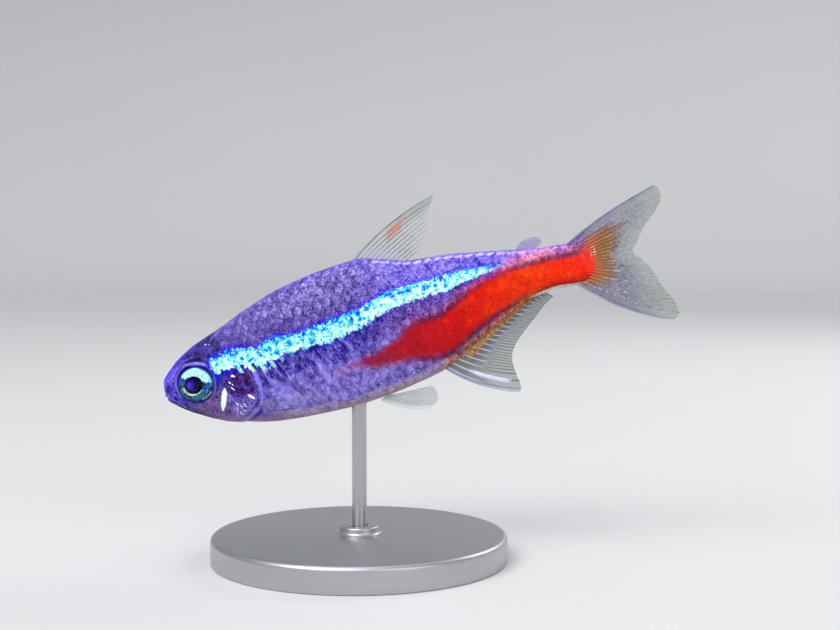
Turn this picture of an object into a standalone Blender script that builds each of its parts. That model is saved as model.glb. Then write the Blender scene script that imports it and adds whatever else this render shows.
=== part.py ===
"""A neon tetra, life size, head a little down as it swims, held by a plain disc and rod.

Metres, +Z up. The fish faces -X and its left side faces -Y. The origin is the centre of
the underside of the stand's disc. The fish is laid out straight and level first, with
f running from the tip of the snout (0) to the end of the flesh of the tail (1), h up and
y across, all in standard lengths. It is then bent a little sideways and pitched.
"""

import math

import bmesh
import bpy
import numpy as np
from mathutils import Vector

# --- driving sizes ------------------------------------------------------------------
SL = 0.0273  # snout to the end of the tail's flesh
PITCH = math.radians(16.5)  # nose below tail
BEND = 0.040  # sideways curve, in standard lengths, one BEND_SPAN from BEND_AT
BEND_AT = 0.42
BEND_SPAN = 0.60
GAP = 0.0002  # between neighbours
FIN_THICK = 0.0005
SNOUT_TIP = -0.0045  # the blunt front of the lips
SNOUT_ROUND = 0.012  # length over which the snout rounds off

HEAD_END = 0.245
TRUNK_END = 0.620
FLESH_END = 0.985
AROUND = 32  # points in one cross-section

# f, height of the back, height of the belly, half width
STATIONS = (
    (-0.0045, 0.0150, -0.0385, 0.0175),
    (0.005, 0.0200, -0.0415, 0.0235),
    (0.017, 0.0294, -0.0510, 0.0300),
    (0.030, 0.0393, -0.0615, 0.0355),
    (0.043, 0.0483, -0.0710, 0.0410),
    (0.065, 0.0598, -0.0842, 0.0480),
    (0.093, 0.0715, -0.1008, 0.0550),
    (0.125, 0.0812, -0.1152, 0.0600),
    (0.160, 0.0917, -0.1262, 0.0635),
    (0.240, 0.1198, -0.1460, 0.0690),
    (0.330, 0.1415, -0.1558, 0.071),
    (0.420, 0.1525, -0.160, 0.070),
    (0.500, 0.1548, -0.156, 0.066),
    (0.560, 0.138, -0.149, 0.061),
    (0.616, 0.119, -0.140, 0.055),
    (0.700, 0.107, -0.103, 0.046),
    (0.780, 0.091, -0.070, 0.037),
    (0.850, 0.074, -0.041, 0.029),
    (0.910, 0.061, -0.035, 0.023),
    (0.960, 0.059, -0.050, 0.018),
    (0.985, 0.065, -0.073, 0.014),
)
# f, how pinched the section is above and below its widest line (1 is an ellipse)
PINCH = (
    (-0.01, 0.80, 0.90),
    (0.10, 0.85, 0.90),
    (0.25, 1.00, 0.85),
    (0.45, 1.15, 0.90),
    (0.62, 1.15, 1.25),
    (0.80, 1.00, 1.20),
    (1.00, 0.90, 0.90),
)

EYE_F, EYE_H = 0.0868, -0.0118
EYE_RADIUS = 0.0430
EYE_HALF_DEPTH = 0.0210
EYE_Y = 0.0395
SOCKET_GAP = 0.0001

GILL_FRONT, GILL_REAR = 0.142, 0.229
GILL_TOP, GILL_FOOT = 0.040, -0.098
GILL_INNER = 0.00075  # how near the middle the cover's inner face comes

JAW_TIP = (-0.012, -0.0215)
JAW_CORNER = (0.024, -0.0455)
JAW_HEEL = (0.085, -0.0850)

STAND_RADIUS = 0.009
STAND_THICK = 0.0016
STAND_EDGE = 0.0003
BOSS_RADIUS = 0.0012
BOSS_HEIGHT = 0.0005
ROD_RADIUS = 0.00045
ROD_CLEAR = 0.0001
ROD_SOCKET = 0.0012  # depth of the hole in the disc
ROD_INTO_BELLY = 0.0008
ROD_AT_F = 0.420
BELLY_HEIGHT = 0.0094  # of the belly over the rod, above the floor

# --- scene --------------------------------------------------------------------------
for old in list(bpy.data.objects):
    bpy.data.objects.remove(old, do_unlink=True)
scene = bpy.context.scene
scene.unit_settings.system = "METRIC"


def new_collection(name):
    made = bpy.data.collections.new(name)
    scene.collection.children.link(made)
    return made


parts = new_collection("neon_tetra")
cutters = new_collection("cutters")


def material(name, colour, roughness, metallic=0.0):
    made = bpy.data.materials.new(name)
    made.use_nodes = True
    shader = made.node_tree.nodes["Principled BSDF"]
    shader.inputs["Base Color"].default_value = (*colour, 1.0)
    shader.inputs["Roughness"].default_value = roughness
    shader.inputs["Metallic"].default_value = metallic
    made.diffuse_color = (*colour, 1.0)
    return made


def new_object(name, mesh, look, holder=None, parent=None):
    made = bpy.data.objects.new(name, mesh)
    (holder or parts).objects.link(made)
    if look:
        mesh.materials.append(look)
    made.parent = parent
    return made


# --- the shape of the fish ----------------------------------------------------------
def smooth(table, column, at):
    """The value at f of one column of a table, by cubics that never overshoot it."""
    x = np.array([row[0] for row in table])
    y = np.array([row[column] for row in table])
    step = np.diff(x)
    slope = np.diff(y) / step
    lean = np.zeros(len(x))
    lean[0], lean[-1] = slope[0], slope[-1]
    for i in range(1, len(x) - 1):
        if slope[i - 1] * slope[i] > 0:
            a, b = 2 * step[i] + step[i - 1], step[i] + 2 * step[i - 1]
            lean[i] = (a + b) / (a / slope[i - 1] + b / slope[i])
    i = int(np.clip(np.searchsorted(x, at) - 1, 0, len(x) - 2))
    t = (at - x[i]) / step[i]
    return (
        y[i] * (1 + 2 * t) * (1 - t) ** 2
        + lean[i] * step[i] * t * (1 - t) ** 2
        + y[i + 1] * t * t * (3 - 2 * t)
        - lean[i + 1] * step[i] * t * t * (1 - t)
    )


def rounding(f):
    return math.sqrt(1 - (1 - min((f - SNOUT_TIP) / SNOUT_ROUND, 1)) ** 2)


def middle(f):
    return (smooth(STATIONS, 1, f) + smooth(STATIONS, 2, f)) / 2


def back(f):
    return middle(f) + (smooth(STATIONS, 1, f) - middle(f)) * rounding(f)


def belly(f):
    return middle(f) + (smooth(STATIONS, 2, f) - middle(f)) * rounding(f)


def section(f):
    """One ring of the body, as (f, y, h) in standard lengths."""
    mid, wide = middle(f), smooth(STATIONS, 3, f) * rounding(f)
    up = np.interp(f, [r[0] for r in PINCH], [r[1] for r in PINCH])
    low = np.interp(f, [r[0] for r in PINCH], [r[2] for r in PINCH])
    ring = []
    for k in range(AROUND):
        turn = 2 * math.pi * (k + 0.5) / AROUND
        c, s = math.cos(turn), math.sin(turn)
        pinch = up if s > 0 else low
        side = math.copysign(abs(c) ** pinch, c)
        reach = back(f) - mid if s > 0 else mid - belly(f)
        ring.append((f, wide * side, mid + reach * s))
    return ring


def place(point):
    """(f, y, h) in standard lengths to metres on the straight fish."""
    return Vector((point[0] * SL, point[1] * SL, point[2] * SL))


def bend(mesh):
    """Curves the straight fish gently sideways."""
    for v in mesh.vertices:
        v.co.y += BEND * SL * ((v.co.x / SL - BEND_AT) / BEND_SPAN) ** 2
    return mesh


def loft(stations, pointed):
    """A closed body through the sections, with a flat end, or a point at the snout."""
    bm = bmesh.new()
    rings = [[bm.verts.new(place(p)) for p in section(f)] for f in stations]
    for a, b in zip(rings, rings[1:]):
        for k in range(AROUND):
            n = (k + 1) % AROUND
            bm.faces.new((a[k], a[n], b[n], b[k]))
    if pointed:
        tip = bm.verts.new(place((SNOUT_TIP, 0, middle(SNOUT_TIP))))
        for k in range(AROUND):
            bm.faces.new((tip, rings[0][(k + 1) % AROUND], rings[0][k]))
    else:
        bm.faces.new(rings[0])
    bm.faces.new(rings[-1][::-1])
    bmesh.ops.recalc_face_normals(bm, faces=bm.faces)
    mesh = bpy.data.meshes.new("loft")
    bm.to_mesh(mesh)
    bm.free()
    return mesh


def prism(outline, y_low, y_high):
    """An outline in the fish's side view, (f, h), run from y_low to y_high in metres."""
    bm = bmesh.new()
    face = bm.faces.new([bm.verts.new((f * SL, y_low, h * SL)) for f, h in outline])
    run = bmesh.ops.extrude_face_region(bm, geom=[face])
    moved = [v for v in run["geom"] if isinstance(v, bmesh.types.BMVert)]
    bmesh.ops.translate(bm, verts=moved, vec=(0, y_high - y_low, 0))
    bmesh.ops.recalc_face_normals(bm, faces=bm.faces)
    mesh = bpy.data.meshes.new("prism")
    bm.to_mesh(mesh)
    bm.free()
    return mesh


def ball(centre, radii, across, rings):
    bm = bmesh.new()
    bmesh.ops.create_uvsphere(bm, u_segments=across, v_segments=rings, radius=1.0)
    for v in bm.verts:  # turned so that the poles look sideways
        x, y, z = v.co
        v.co = Vector((x * radii[0], -z * radii[1], y * radii[2])) + Vector(centre)
    mesh = bpy.data.meshes.new("ball")
    bm.to_mesh(mesh)
    bm.free()
    return mesh


def cutter(name, mesh):
    made = new_object(name, mesh, None, cutters)
    made.hide_render = True
    made.display_type = "WIRE"
    return made


def cut(body, operation, tool):
    step = body.modifiers.new(tool.name, "BOOLEAN")
    step.operation = operation
    step.solver = "EXACT"
    step.object = tool


def settle(body):
    """Keeps what the modifiers make as the object's own mesh."""
    graph = bpy.context.evaluated_depsgraph_get()
    mesh = bpy.data.meshes.new_from_object(body.evaluated_get(graph))
    body.modifiers.clear()
    body.data = mesh
    return mesh


def grow(outline, by):
    """Moves each point of an outline away from its middle by a length in metres."""
    mid_f = sum(p[0] for p in outline) / len(outline)
    mid_h = sum(p[1] for p in outline) / len(outline)
    grown = []
    for f, h in outline:
        away = math.hypot(f - mid_f, h - mid_h)
        k = 1 + by / SL / away
        grown.append((mid_f + (f - mid_f) * k, mid_h + (h - mid_h) * k))
    return grown


# --- looks --------------------------------------------------------------------------
violet = material("back_skin", (0.20, 0.15, 0.50), 0.35)
dusk = material("head_skin", (0.10, 0.08, 0.36), 0.35)
plum = material("gill_skin", (0.09, 0.04, 0.18), 0.30)
red = material("red_skin", (0.78, 0.02, 0.01), 0.35)
cyan = material("eye_shine", (0.10, 0.75, 0.90), 0.15)
glassy = material("fin_web", (0.55, 0.62, 0.60), 0.30)
satin = material("satin_disc", (0.62, 0.63, 0.65), 0.35, 1.0)
steel = material("steel_rod", (0.56, 0.57, 0.58), 0.25, 1.0)

pose = bpy.data.objects.new("fish_pose", None)
parts.objects.link(pose)
foot = place((ROD_AT_F, 0, belly(ROD_AT_F)))
foot_x = foot.x * math.cos(PITCH) - foot.z * math.sin(PITCH)
foot_z = foot.x * math.sin(PITCH) + foot.z * math.cos(PITCH)
pose.location = (-foot_x, 0, BELLY_HEIGHT - foot_z)
pose.rotation_euler = (0, -PITCH, 0)
bpy.context.view_layer.update()

# --- head, jaw, gill covers, eyes ---------------------------------------------------
half_gap = GAP / 2 / SL
snout = [SNOUT_TIP + step for step in (0.0008, 0.0030, 0.0065, 0.012, 0.021, 0.033)]
head_rings = snout + list(np.linspace(0.040, HEAD_END - half_gap, 12))
head = new_object("head", loft(head_rings, True), dusk)

LOW = -0.30
jaw_outline = [
    JAW_TIP,
    JAW_CORNER,
    JAW_HEEL,
    (JAW_HEEL[0], LOW),
    (JAW_TIP[0] - 0.05, LOW),
    (JAW_TIP[0] - 0.05, JAW_TIP[1]),
]
shift = GAP / SL
jaw_gap_outline = [
    (JAW_TIP[0], JAW_TIP[1] + shift * 0.7),
    (JAW_CORNER[0] + shift * 0.7, JAW_CORNER[1] + shift * 0.7),
    (JAW_HEEL[0] + shift, JAW_HEEL[1] + shift),
    (JAW_HEEL[0] + shift, LOW),
    (JAW_TIP[0] - 0.05, LOW),
    (JAW_TIP[0] - 0.05, JAW_TIP[1] + shift * 0.7),
]
WIDE = 0.004
lower_jaw = new_object("lower_jaw", loft(head_rings, True), dusk)
cut(lower_jaw, "INTERSECT", cutter("jaw_block", prism(jaw_outline, -WIDE, WIDE)))
cut(head, "DIFFERENCE", cutter("jaw_room", prism(jaw_gap_outline, -WIDE, WIDE)))

# The cover: a rounded rear edge, a straighter front one
gill_outline = []
for k in range(18):
    turn = 2 * math.pi * k / 18
    bulge = 0.62 if math.cos(turn) < 0 else 0.90
    gill_outline.append(
        (
            (GILL_FRONT + GILL_REAR) / 2
            + (GILL_REAR - GILL_FRONT)
            / 2
            * math.copysign(abs(math.cos(turn)) ** bulge, math.cos(turn)),
            (GILL_TOP + GILL_FOOT) / 2 + (GILL_TOP - GILL_FOOT) / 2 * math.sin(turn),
        )
    )
for side, name in ((-1, "left"), (1, "right")):
    inner, outer = GILL_INNER * side, WIDE * side
    cover = new_object("gill_cover_" + name, loft(head_rings, True), plum)
    block = cutter(
        "gill_block_" + name,
        prism(gill_outline, min(inner, outer), max(inner, outer)),
    )
    cut(cover, "INTERSECT", block)
    inner -= GAP * side
    room = cutter(
        "gill_room_" + name,
        prism(grow(gill_outline, GAP), min(inner, outer), max(inner, outer)),
    )
    cut(head, "DIFFERENCE", room)
    bend(settle(cover))
    cover.parent = pose

    centre = (EYE_F * SL, side * EYE_Y * SL, EYE_H * SL)
    round_r, deep_r = EYE_RADIUS * SL, EYE_HALF_DEPTH * SL
    eye = new_object("eye_" + name, ball(centre, (round_r, deep_r, round_r), 24, 12), cyan)
    bend(eye.data)
    eye.data.shade_smooth()
    eye.parent = pose
    socket = ball(
        centre,
        (round_r + SOCKET_GAP, deep_r + SOCKET_GAP, round_r + SOCKET_GAP),
        24,
        12,
    )
    cut(head, "DIFFERENCE", cutter("socket_" + name, socket))

for piece in (head, lower_jaw):
    bend(settle(piece))
    piece.parent = pose

# --- trunk and tail -----------------------------------------------------------------
trunk_rings = np.linspace(HEAD_END + half_gap, TRUNK_END - half_gap, 14)
trunk = new_object("trunk", bend(loft(trunk_rings, False)), violet, parent=pose)
tail_rings = np.linspace(TRUNK_END + half_gap, FLESH_END, 15)
tail = new_object("tail", bend(loft(tail_rings, False)), red, parent=pose)

# --- fins ---------------------------------------------------------------------------
def along(points, u):
    """A point on a smooth line through (u, f, y, h) rows."""
    return np.array([smooth(points, c, u) for c in (1, 2, 3)])


def fin(name, root, edge, bow, columns, rows, look=glassy):
    """A sheet from its root line to its free edge, thickened. bow curves its rays."""
    bm = bmesh.new()
    grid = []
    for i in range(columns + 1):
        u = i / columns
        a, b = np.array(root(u)), along(edge, u)
        side = np.array((-(b - a)[2], 0.0, (b - a)[0]))
        line = []
        for j in range(rows + 1):
            v = j / rows
            p = a + (b - a) * v + side * bow(u) * 4 * v * (1 - v)
            line.append(bm.verts.new(place(p)))
        grid.append(line)
    for a, b in zip(grid, grid[1:]):
        for j in range(rows):
            bm.faces.new((a[j], a[j + 1], b[j + 1], b[j]))
    mesh = bpy.data.meshes.new(name)
    bm.to_mesh(mesh)
    bm.free()
    made = new_object(name, bend(mesh), look, parent=pose)
    thick = made.modifiers.new("thickness", "SOLIDIFY")
    thick.thickness = FIN_THICK
    thick.offset = 0.0
    thick.use_even_offset = True
    return made


def mix(a, b, u):
    return a + (b - a) * u


clear = GAP / SL

DORSAL = (0.499, 0.613)
fin(
    "dorsal_fin",
    lambda u: (mix(*DORSAL, u), 0.0, back(mix(*DORSAL, u)) + clear),
    (
        (0.00, 0.713, 0, 0.243),
        (0.12, 0.704, 0, 0.228),
        (0.30, 0.692, 0, 0.212),
        (0.55, 0.684, 0, 0.188),
        (0.80, 0.664, 0, 0.155),
        (1.00, 0.642, 0, 0.128),
    ),
    lambda u: 0.052 * (1 - u) ** 2,
    14,
    6,
)

ADIPOSE = (0.846, 0.884)
fin(
    "adipose_fin",
    lambda u: (mix(*ADIPOSE, u), 0.0, back(mix(*ADIPOSE, u)) + clear),
    (
        (0.0, 0.868, 0, 0.0880),
        (0.4, 0.889, 0, 0.0900),
        (0.8, 0.906, 0, 0.0830),
        (1.0, 0.909, 0, 0.0740),
    ),
    lambda u: 0.10 * (1 - u),
    8,
    3,
)

ANAL = (0.629, 0.886)
fin(
    "anal_fin",
    lambda u: (mix(*ANAL, u), 0.0, belly(mix(*ANAL, u)) - clear),
    (
        (0.00, 0.772, 0, -0.2295),
        (0.05, 0.778, 0, -0.2150),
        (0.12, 0.775, 0, -0.1850),
        (0.20, 0.774, 0, -0.1630),
        (0.28, 0.778, 0, -0.1460),
        (0.36, 0.790, 0, -0.1270),
        (0.47, 0.811, 0, -0.1080),
        (0.66, 0.847, 0, -0.0820),
        (0.85, 0.878, 0, -0.0590),
        (1.00, 0.900, 0, -0.0480),
    ),
    lambda u: -0.07 * (1 - u) ** 2,
    20,
    5,
)

CAUDAL = (0.993, 0.069, -0.081)
fin(
    "caudal_fin",
    lambda u: (CAUDAL[0], 0.0, mix(CAUDAL[1], CAUDAL[2], u)),
    (
        (0.00, 1.182, 0, 0.128),
        (0.08, 1.186, 0, 0.100),
        (0.18, 1.170, 0, 0.074),
        (0.30, 1.132, 0, 0.043),
        (0.40, 1.109, 0, 0.017),
        (0.47, 1.093, 0, -0.002),
        (0.55, 1.107, 0, -0.025),
        (0.63, 1.119, 0, -0.047),
        (0.75, 1.133, 0, -0.092),
        (0.88, 1.150, 0, -0.140),
        (0.95, 1.149, 0, -0.162),
        (1.00, 1.138, 0, -0.174),
    ),
    lambda u: mix(0.032, -0.048, u),
    28,
    5,
)

for side, name in ((-1, "left"), (1, "right")):
    fin(
        "pelvic_fin_" + name,
        lambda u: (mix(0.474, 0.492, u), side * mix(0.021, 0.011, u), -0.163 - 0.007 * (1 - u)),
        (
            (0.0, 0.576, side * 0.043, -0.206),
            (0.3, 0.590, side * 0.036, -0.197),
            (0.7, 0.593, side * 0.023, -0.178),
            (1.0, 0.588, side * 0.014, -0.163),
        ),
        lambda u: -0.08 * (1 - u),
        8,
        5,
    )
    fin(
        "pectoral_fin_" + name,
        lambda u: (mix(0.222, 0.227, u), side * mix(0.071, 0.067, u), mix(-0.088, -0.106, u)),
        (
            (0.0, 0.368, side * 0.097, -0.106),
            (0.3, 0.381, side * 0.098, -0.117),
            (0.7, 0.364, side * 0.092, -0.137),
            (1.0, 0.335, side * 0.084, -0.146),
        ),
        lambda u: mix(0.04, -0.05, u),
        8,
        5,
    )

# --- stand --------------------------------------------------------------------------
hole = ROD_RADIUS + ROD_CLEAR
top = STAND_THICK + BOSS_HEIGHT
profile = [
    (0, top - ROD_SOCKET),
    (hole, top - ROD_SOCKET),
    (hole, top),
    (BOSS_RADIUS - STAND_EDGE / 3, top),
    (BOSS_RADIUS, top - STAND_EDGE / 3),
    (BOSS_RADIUS, STAND_THICK),
    (STAND_RADIUS - STAND_EDGE, STAND_THICK),
    (STAND_RADIUS - STAND_EDGE * 0.3, STAND_THICK - STAND_EDGE * 0.3),
    (STAND_RADIUS, STAND_THICK - STAND_EDGE),
    (STAND_RADIUS, STAND_EDGE / 3),
    (STAND_RADIUS - STAND_EDGE / 3, 0),
    (0, 0),
]
mesh = bpy.data.meshes.new("stand_base")
mesh.from_pydata(
    [(x, 0, z) for x, z in profile], [(i, i + 1) for i in range(len(profile) - 1)], []
)
disc = new_object("stand_base", mesh, satin)
turned = disc.modifiers.new("turn", "SCREW")
turned.axis = "Z"
turned.steps = turned.render_steps = 56
turned.use_merge_vertices = True
turned.merge_threshold = 0.00002
settle(disc)
disc.data.shade_smooth()
disc.data.set_sharp_from_angle(angle=math.radians(30))

rod_foot = top - ROD_SOCKET + ROD_CLEAR
rod_top = BELLY_HEIGHT + ROD_INTO_BELLY
bpy.ops.mesh.primitive_cylinder_add(
    vertices=20,
    radius=ROD_RADIUS,
    depth=rod_top - rod_foot,
    location=(0, 0, (rod_top + rod_foot) / 2),
)
rod = bpy.context.object
rod.name = "stand_rod"
rod.data.materials.append(steel)
rod.data.shade_smooth()
rod.data.set_sharp_from_angle(angle=math.radians(30))
for holder in list(rod.users_collection):
    holder.objects.unlink(rod)
parts.objects.link(rod)

# The rod's hole in the belly
bpy.ops.mesh.primitive_cylinder_add(
    vertices=20,
    radius=ROD_RADIUS + GAP,
    depth=rod_top + GAP - BELLY_HEIGHT / 2,
    location=(0, 0, (rod_top + GAP + BELLY_HEIGHT / 2) / 2),
)
drill = bpy.context.object
drill.name = "rod_hole"
for holder in list(drill.users_collection):
    holder.objects.unlink(drill)
cutters.objects.link(drill)
drill.hide_render = True
drill.display_type = "WIRE"
bpy.context.view_layer.update()
cut(trunk, "DIFFERENCE", drill)

for piece in (head, lower_jaw, trunk, tail):
    piece.data.shade_smooth()
    piece.data.set_sharp_from_angle(angle=math.radians(40))
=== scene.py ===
"""The looks of the neon tetra: skin, scales, eyes, fins and stand, round the fixed frame."""

import math

import bpy
import numpy as np
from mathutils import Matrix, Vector


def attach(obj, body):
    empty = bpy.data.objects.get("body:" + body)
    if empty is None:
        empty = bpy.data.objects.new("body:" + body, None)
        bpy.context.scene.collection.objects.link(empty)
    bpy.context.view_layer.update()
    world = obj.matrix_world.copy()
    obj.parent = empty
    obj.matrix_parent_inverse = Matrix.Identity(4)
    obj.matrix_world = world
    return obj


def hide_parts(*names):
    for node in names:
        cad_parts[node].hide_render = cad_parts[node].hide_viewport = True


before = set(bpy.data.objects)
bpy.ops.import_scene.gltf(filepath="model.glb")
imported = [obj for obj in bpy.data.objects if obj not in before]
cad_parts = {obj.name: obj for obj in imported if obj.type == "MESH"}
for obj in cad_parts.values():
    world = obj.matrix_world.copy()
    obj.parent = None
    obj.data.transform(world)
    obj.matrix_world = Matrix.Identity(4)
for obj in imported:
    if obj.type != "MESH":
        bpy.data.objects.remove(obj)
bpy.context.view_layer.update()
rng = np.random.default_rng(7)

# --- the fish's own measures, in standard lengths -----------------------------------
SL = 0.0273
MM = SL * 1000
PITCH = math.radians(16.5)
BEND, BEND_AT, BEND_SPAN = 0.040, 0.42, 0.60
SNOUT_TIP, SNOUT_ROUND = -0.0045, 0.012
EYE_F, EYE_H, EYE_R = 0.0868, -0.0118, 0.0430
BELLY_HEIGHT, ROD_AT_F = 0.0094, 0.420
COAT = 0.0013  # skin below the solids where scales lie on it

# f, height of the back, height of the belly, half width
STATIONS = (
    (-0.0045, 0.0150, -0.0385, 0.0175),
    (0.005, 0.0200, -0.0415, 0.0235),
    (0.017, 0.0294, -0.0510, 0.0300),
    (0.030, 0.0393, -0.0615, 0.0355),
    (0.043, 0.0483, -0.0710, 0.0410),
    (0.065, 0.0598, -0.0842, 0.0480),
    (0.093, 0.0715, -0.1008, 0.0550),
    (0.125, 0.0812, -0.1152, 0.0600),
    (0.160, 0.0917, -0.1262, 0.0635),
    (0.240, 0.1198, -0.1460, 0.0690),
    (0.330, 0.1415, -0.1558, 0.0710),
    (0.420, 0.1525, -0.1600, 0.0700),
    (0.500, 0.1548, -0.1560, 0.0660),
    (0.560, 0.1380, -0.1490, 0.0610),
    (0.616, 0.1190, -0.1400, 0.0550),
    (0.700, 0.1070, -0.1030, 0.0460),
    (0.780, 0.0910, -0.0700, 0.0370),
    (0.850, 0.0740, -0.0410, 0.0290),
    (0.910, 0.0610, -0.0350, 0.0230),
    (0.950, 0.0570, -0.0400, 0.0185),
    (0.975, 0.0520, -0.0430, 0.0145),
    (0.992, 0.0430, -0.0400, 0.0100),
    (1.004, 0.0330, -0.0320, 0.0060),
)
FLESH_END, END_ROUND = 1.010, 0.010
PINCH = (
    (-0.01, 0.80, 0.90),
    (0.10, 0.85, 0.90),
    (0.25, 1.00, 0.85),
    (0.45, 1.15, 0.90),
    (0.62, 1.15, 1.25),
    (0.80, 1.00, 1.20),
    (1.00, 0.90, 0.90),
)


def smooth(table, column, at):
    """Values of one column at each f, by cubics that never overshoot."""
    at = np.asarray(at, float)
    x = np.array([row[0] for row in table], float)
    y = np.array([row[column] for row in table], float)
    step = np.diff(x)
    slope = np.diff(y) / step
    lean = np.zeros(len(x))
    lean[0], lean[-1] = slope[0], slope[-1]
    for i in range(1, len(x) - 1):
        if slope[i - 1] * slope[i] > 0:
            a, b = 2 * step[i] + step[i - 1], step[i] + 2 * step[i - 1]
            lean[i] = (a + b) / (a / slope[i - 1] + b / slope[i])
    at = np.clip(at, x[0], x[-1])
    i = np.clip(np.searchsorted(x, at) - 1, 0, len(x) - 2)
    t = (at - x[i]) / step[i]
    return (
        y[i] * (1 + 2 * t) * (1 - t) ** 2
        + lean[i] * step[i] * t * (1 - t) ** 2
        + y[i + 1] * t * t * (3 - 2 * t)
        - lean[i + 1] * step[i] * t * t * (1 - t)
    )


def rounding(f):
    front = np.clip((f - SNOUT_TIP) / SNOUT_ROUND, 0, 1)
    rear = np.clip((FLESH_END - f) / END_ROUND, 0, 1)
    return np.sqrt(1 - (1 - front) ** 2) * np.sqrt(1 - (1 - rear) ** 2)


def middle(f):
    return (smooth(STATIONS, 1, f) + smooth(STATIONS, 2, f)) / 2


def back(f):
    return middle(f) + (smooth(STATIONS, 1, f) - middle(f)) * rounding(f)


def belly(f):
    return middle(f) + (smooth(STATIONS, 2, f) - middle(f)) * rounding(f)


def pinch(f, column):
    return np.interp(f, [r[0] for r in PINCH], [r[column] for r in PINCH])


def ramp(lo, hi, x):
    t = np.clip((np.asarray(x, float) - lo) / (hi - lo), 0, 1)
    return t * t * (3 - 2 * t)


def bell(x, width):
    return np.exp(-((x / width) ** 2))


def mix(a, b, u):
    return a + (b - a) * u


# --- from the straight, level fish to the posed one ---------------------------------
COS, SIN = math.cos(PITCH), math.sin(PITCH)
FOOT = (ROD_AT_F * SL, float(belly(ROD_AT_F)) * SL)
OFFSET = (-(FOOT[0] * COS - FOOT[1] * SIN), BELLY_HEIGHT - (FOOT[0] * SIN + FOOT[1] * COS))


def posed(p):
    """(..., 3) of f, y, h in standard lengths to metres in the frame."""
    p = np.asarray(p, float)
    x, y, z = p[..., 0] * SL, p[..., 1] * SL, p[..., 2] * SL
    y = y + BEND * SL * ((p[..., 0] - BEND_AT) / BEND_SPAN) ** 2
    return np.stack([OFFSET[0] + x * COS - z * SIN, y, OFFSET[1] + x * SIN + z * COS], -1)


# --- the body's surface, as f and the share of the way from back to belly -----------
HALF = 100
F_ROWS = np.concatenate(
    [
        SNOUT_TIP + SNOUT_ROUND * (1 - np.cos(np.linspace(math.radians(5), math.pi / 2, 24))),
        np.linspace(SNOUT_TIP + SNOUT_ROUND, 0.252, 216)[1:],
        np.linspace(0.252, 0.990, 186)[1:],
        np.linspace(0.990, 1.000, 5)[1:],
        1.010 - 0.010 * (1 - np.sin(np.linspace(0.0, math.radians(84), 9)))[1:],
    ]
)


def half_rings(f):
    """Even steps along each half ring: y out to the side and h, from back to belly."""
    f = np.asarray(f, float)
    turn = np.linspace(math.pi / 2, -math.pi / 2, 321)
    c, s = np.maximum(np.cos(turn), 0), np.sin(turn)
    up, low = pinch(f, 1)[:, None], pinch(f, 2)[:, None]
    mid, top, foot = middle(f)[:, None], back(f)[:, None], belly(f)[:, None]
    wide = (smooth(STATIONS, 3, f) * rounding(f))[:, None]
    y = wide * np.where(s > 0, c**up, c**low)
    h = mid + np.where(s > 0, (top - mid) * s, (mid - foot) * s)
    run = np.concatenate(
        [np.zeros((len(f), 1)), np.cumsum(np.hypot(np.diff(y), np.diff(h)), 1)], 1
    )
    out = np.empty((len(f), HALF + 1, 2))
    for i in range(len(f)):
        even = np.linspace(0, run[i, -1], HALF + 1)
        out[i, :, 0] = np.interp(even, run[i], y[i])
        out[i, :, 1] = np.interp(even, run[i], h[i])
    return out, run[:, -1]


RINGS, GIRTH = half_rings(F_ROWS)


def on_body(f, t, side):
    """Points (f, y, h) on the smooth body, t from 0 at the back to 1 at the belly."""
    f, t = np.broadcast_arrays(np.asarray(f, float), np.asarray(t, float))
    i = np.clip(np.searchsorted(F_ROWS, f) - 1, 0, len(F_ROWS) - 2)
    a = np.clip((f - F_ROWS[i]) / (F_ROWS[i + 1] - F_ROWS[i]), 0, 1)
    x = np.clip(t, 0, 1) * HALF
    j = np.clip(x.astype(int), 0, HALF - 1)
    b = x - j
    p = (
        RINGS[i, j] * ((1 - a) * (1 - b))[..., None]
        + RINGS[i + 1, j] * (a * (1 - b))[..., None]
        + RINGS[i, j + 1] * ((1 - a) * b)[..., None]
        + RINGS[i + 1, j + 1] * (a * b)[..., None]
    )
    return np.stack([f, side * p[..., 0], p[..., 1]], -1)


def body_normal(f, t, side):
    df, dt = 0.004, 0.006
    along = on_body(np.minimum(f + df, 1.004), t, side) - on_body(np.maximum(f - df, 0.0), t, side)
    down = on_body(f, np.minimum(t + dt, 1), side) - on_body(f, np.maximum(t - dt, 0), side)
    n = np.cross(along, down) * side
    n[..., 1] += side * 1e-9
    return n / np.maximum(np.linalg.norm(n, axis=-1, keepdims=True), 1e-12)


def t_at_height(f, h):
    """The share of the way round at which the body's side has height h."""
    i = int(np.clip(np.searchsorted(F_ROWS, f) - 1, 0, len(F_ROWS) - 2))
    a = (f - F_ROWS[i]) / (F_ROWS[i + 1] - F_ROWS[i])
    heights = RINGS[i, :, 1] * (1 - a) + RINGS[i + 1, :, 1] * a
    return float(np.interp(-h, -heights, np.linspace(0, 1, HALF + 1)))


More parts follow.
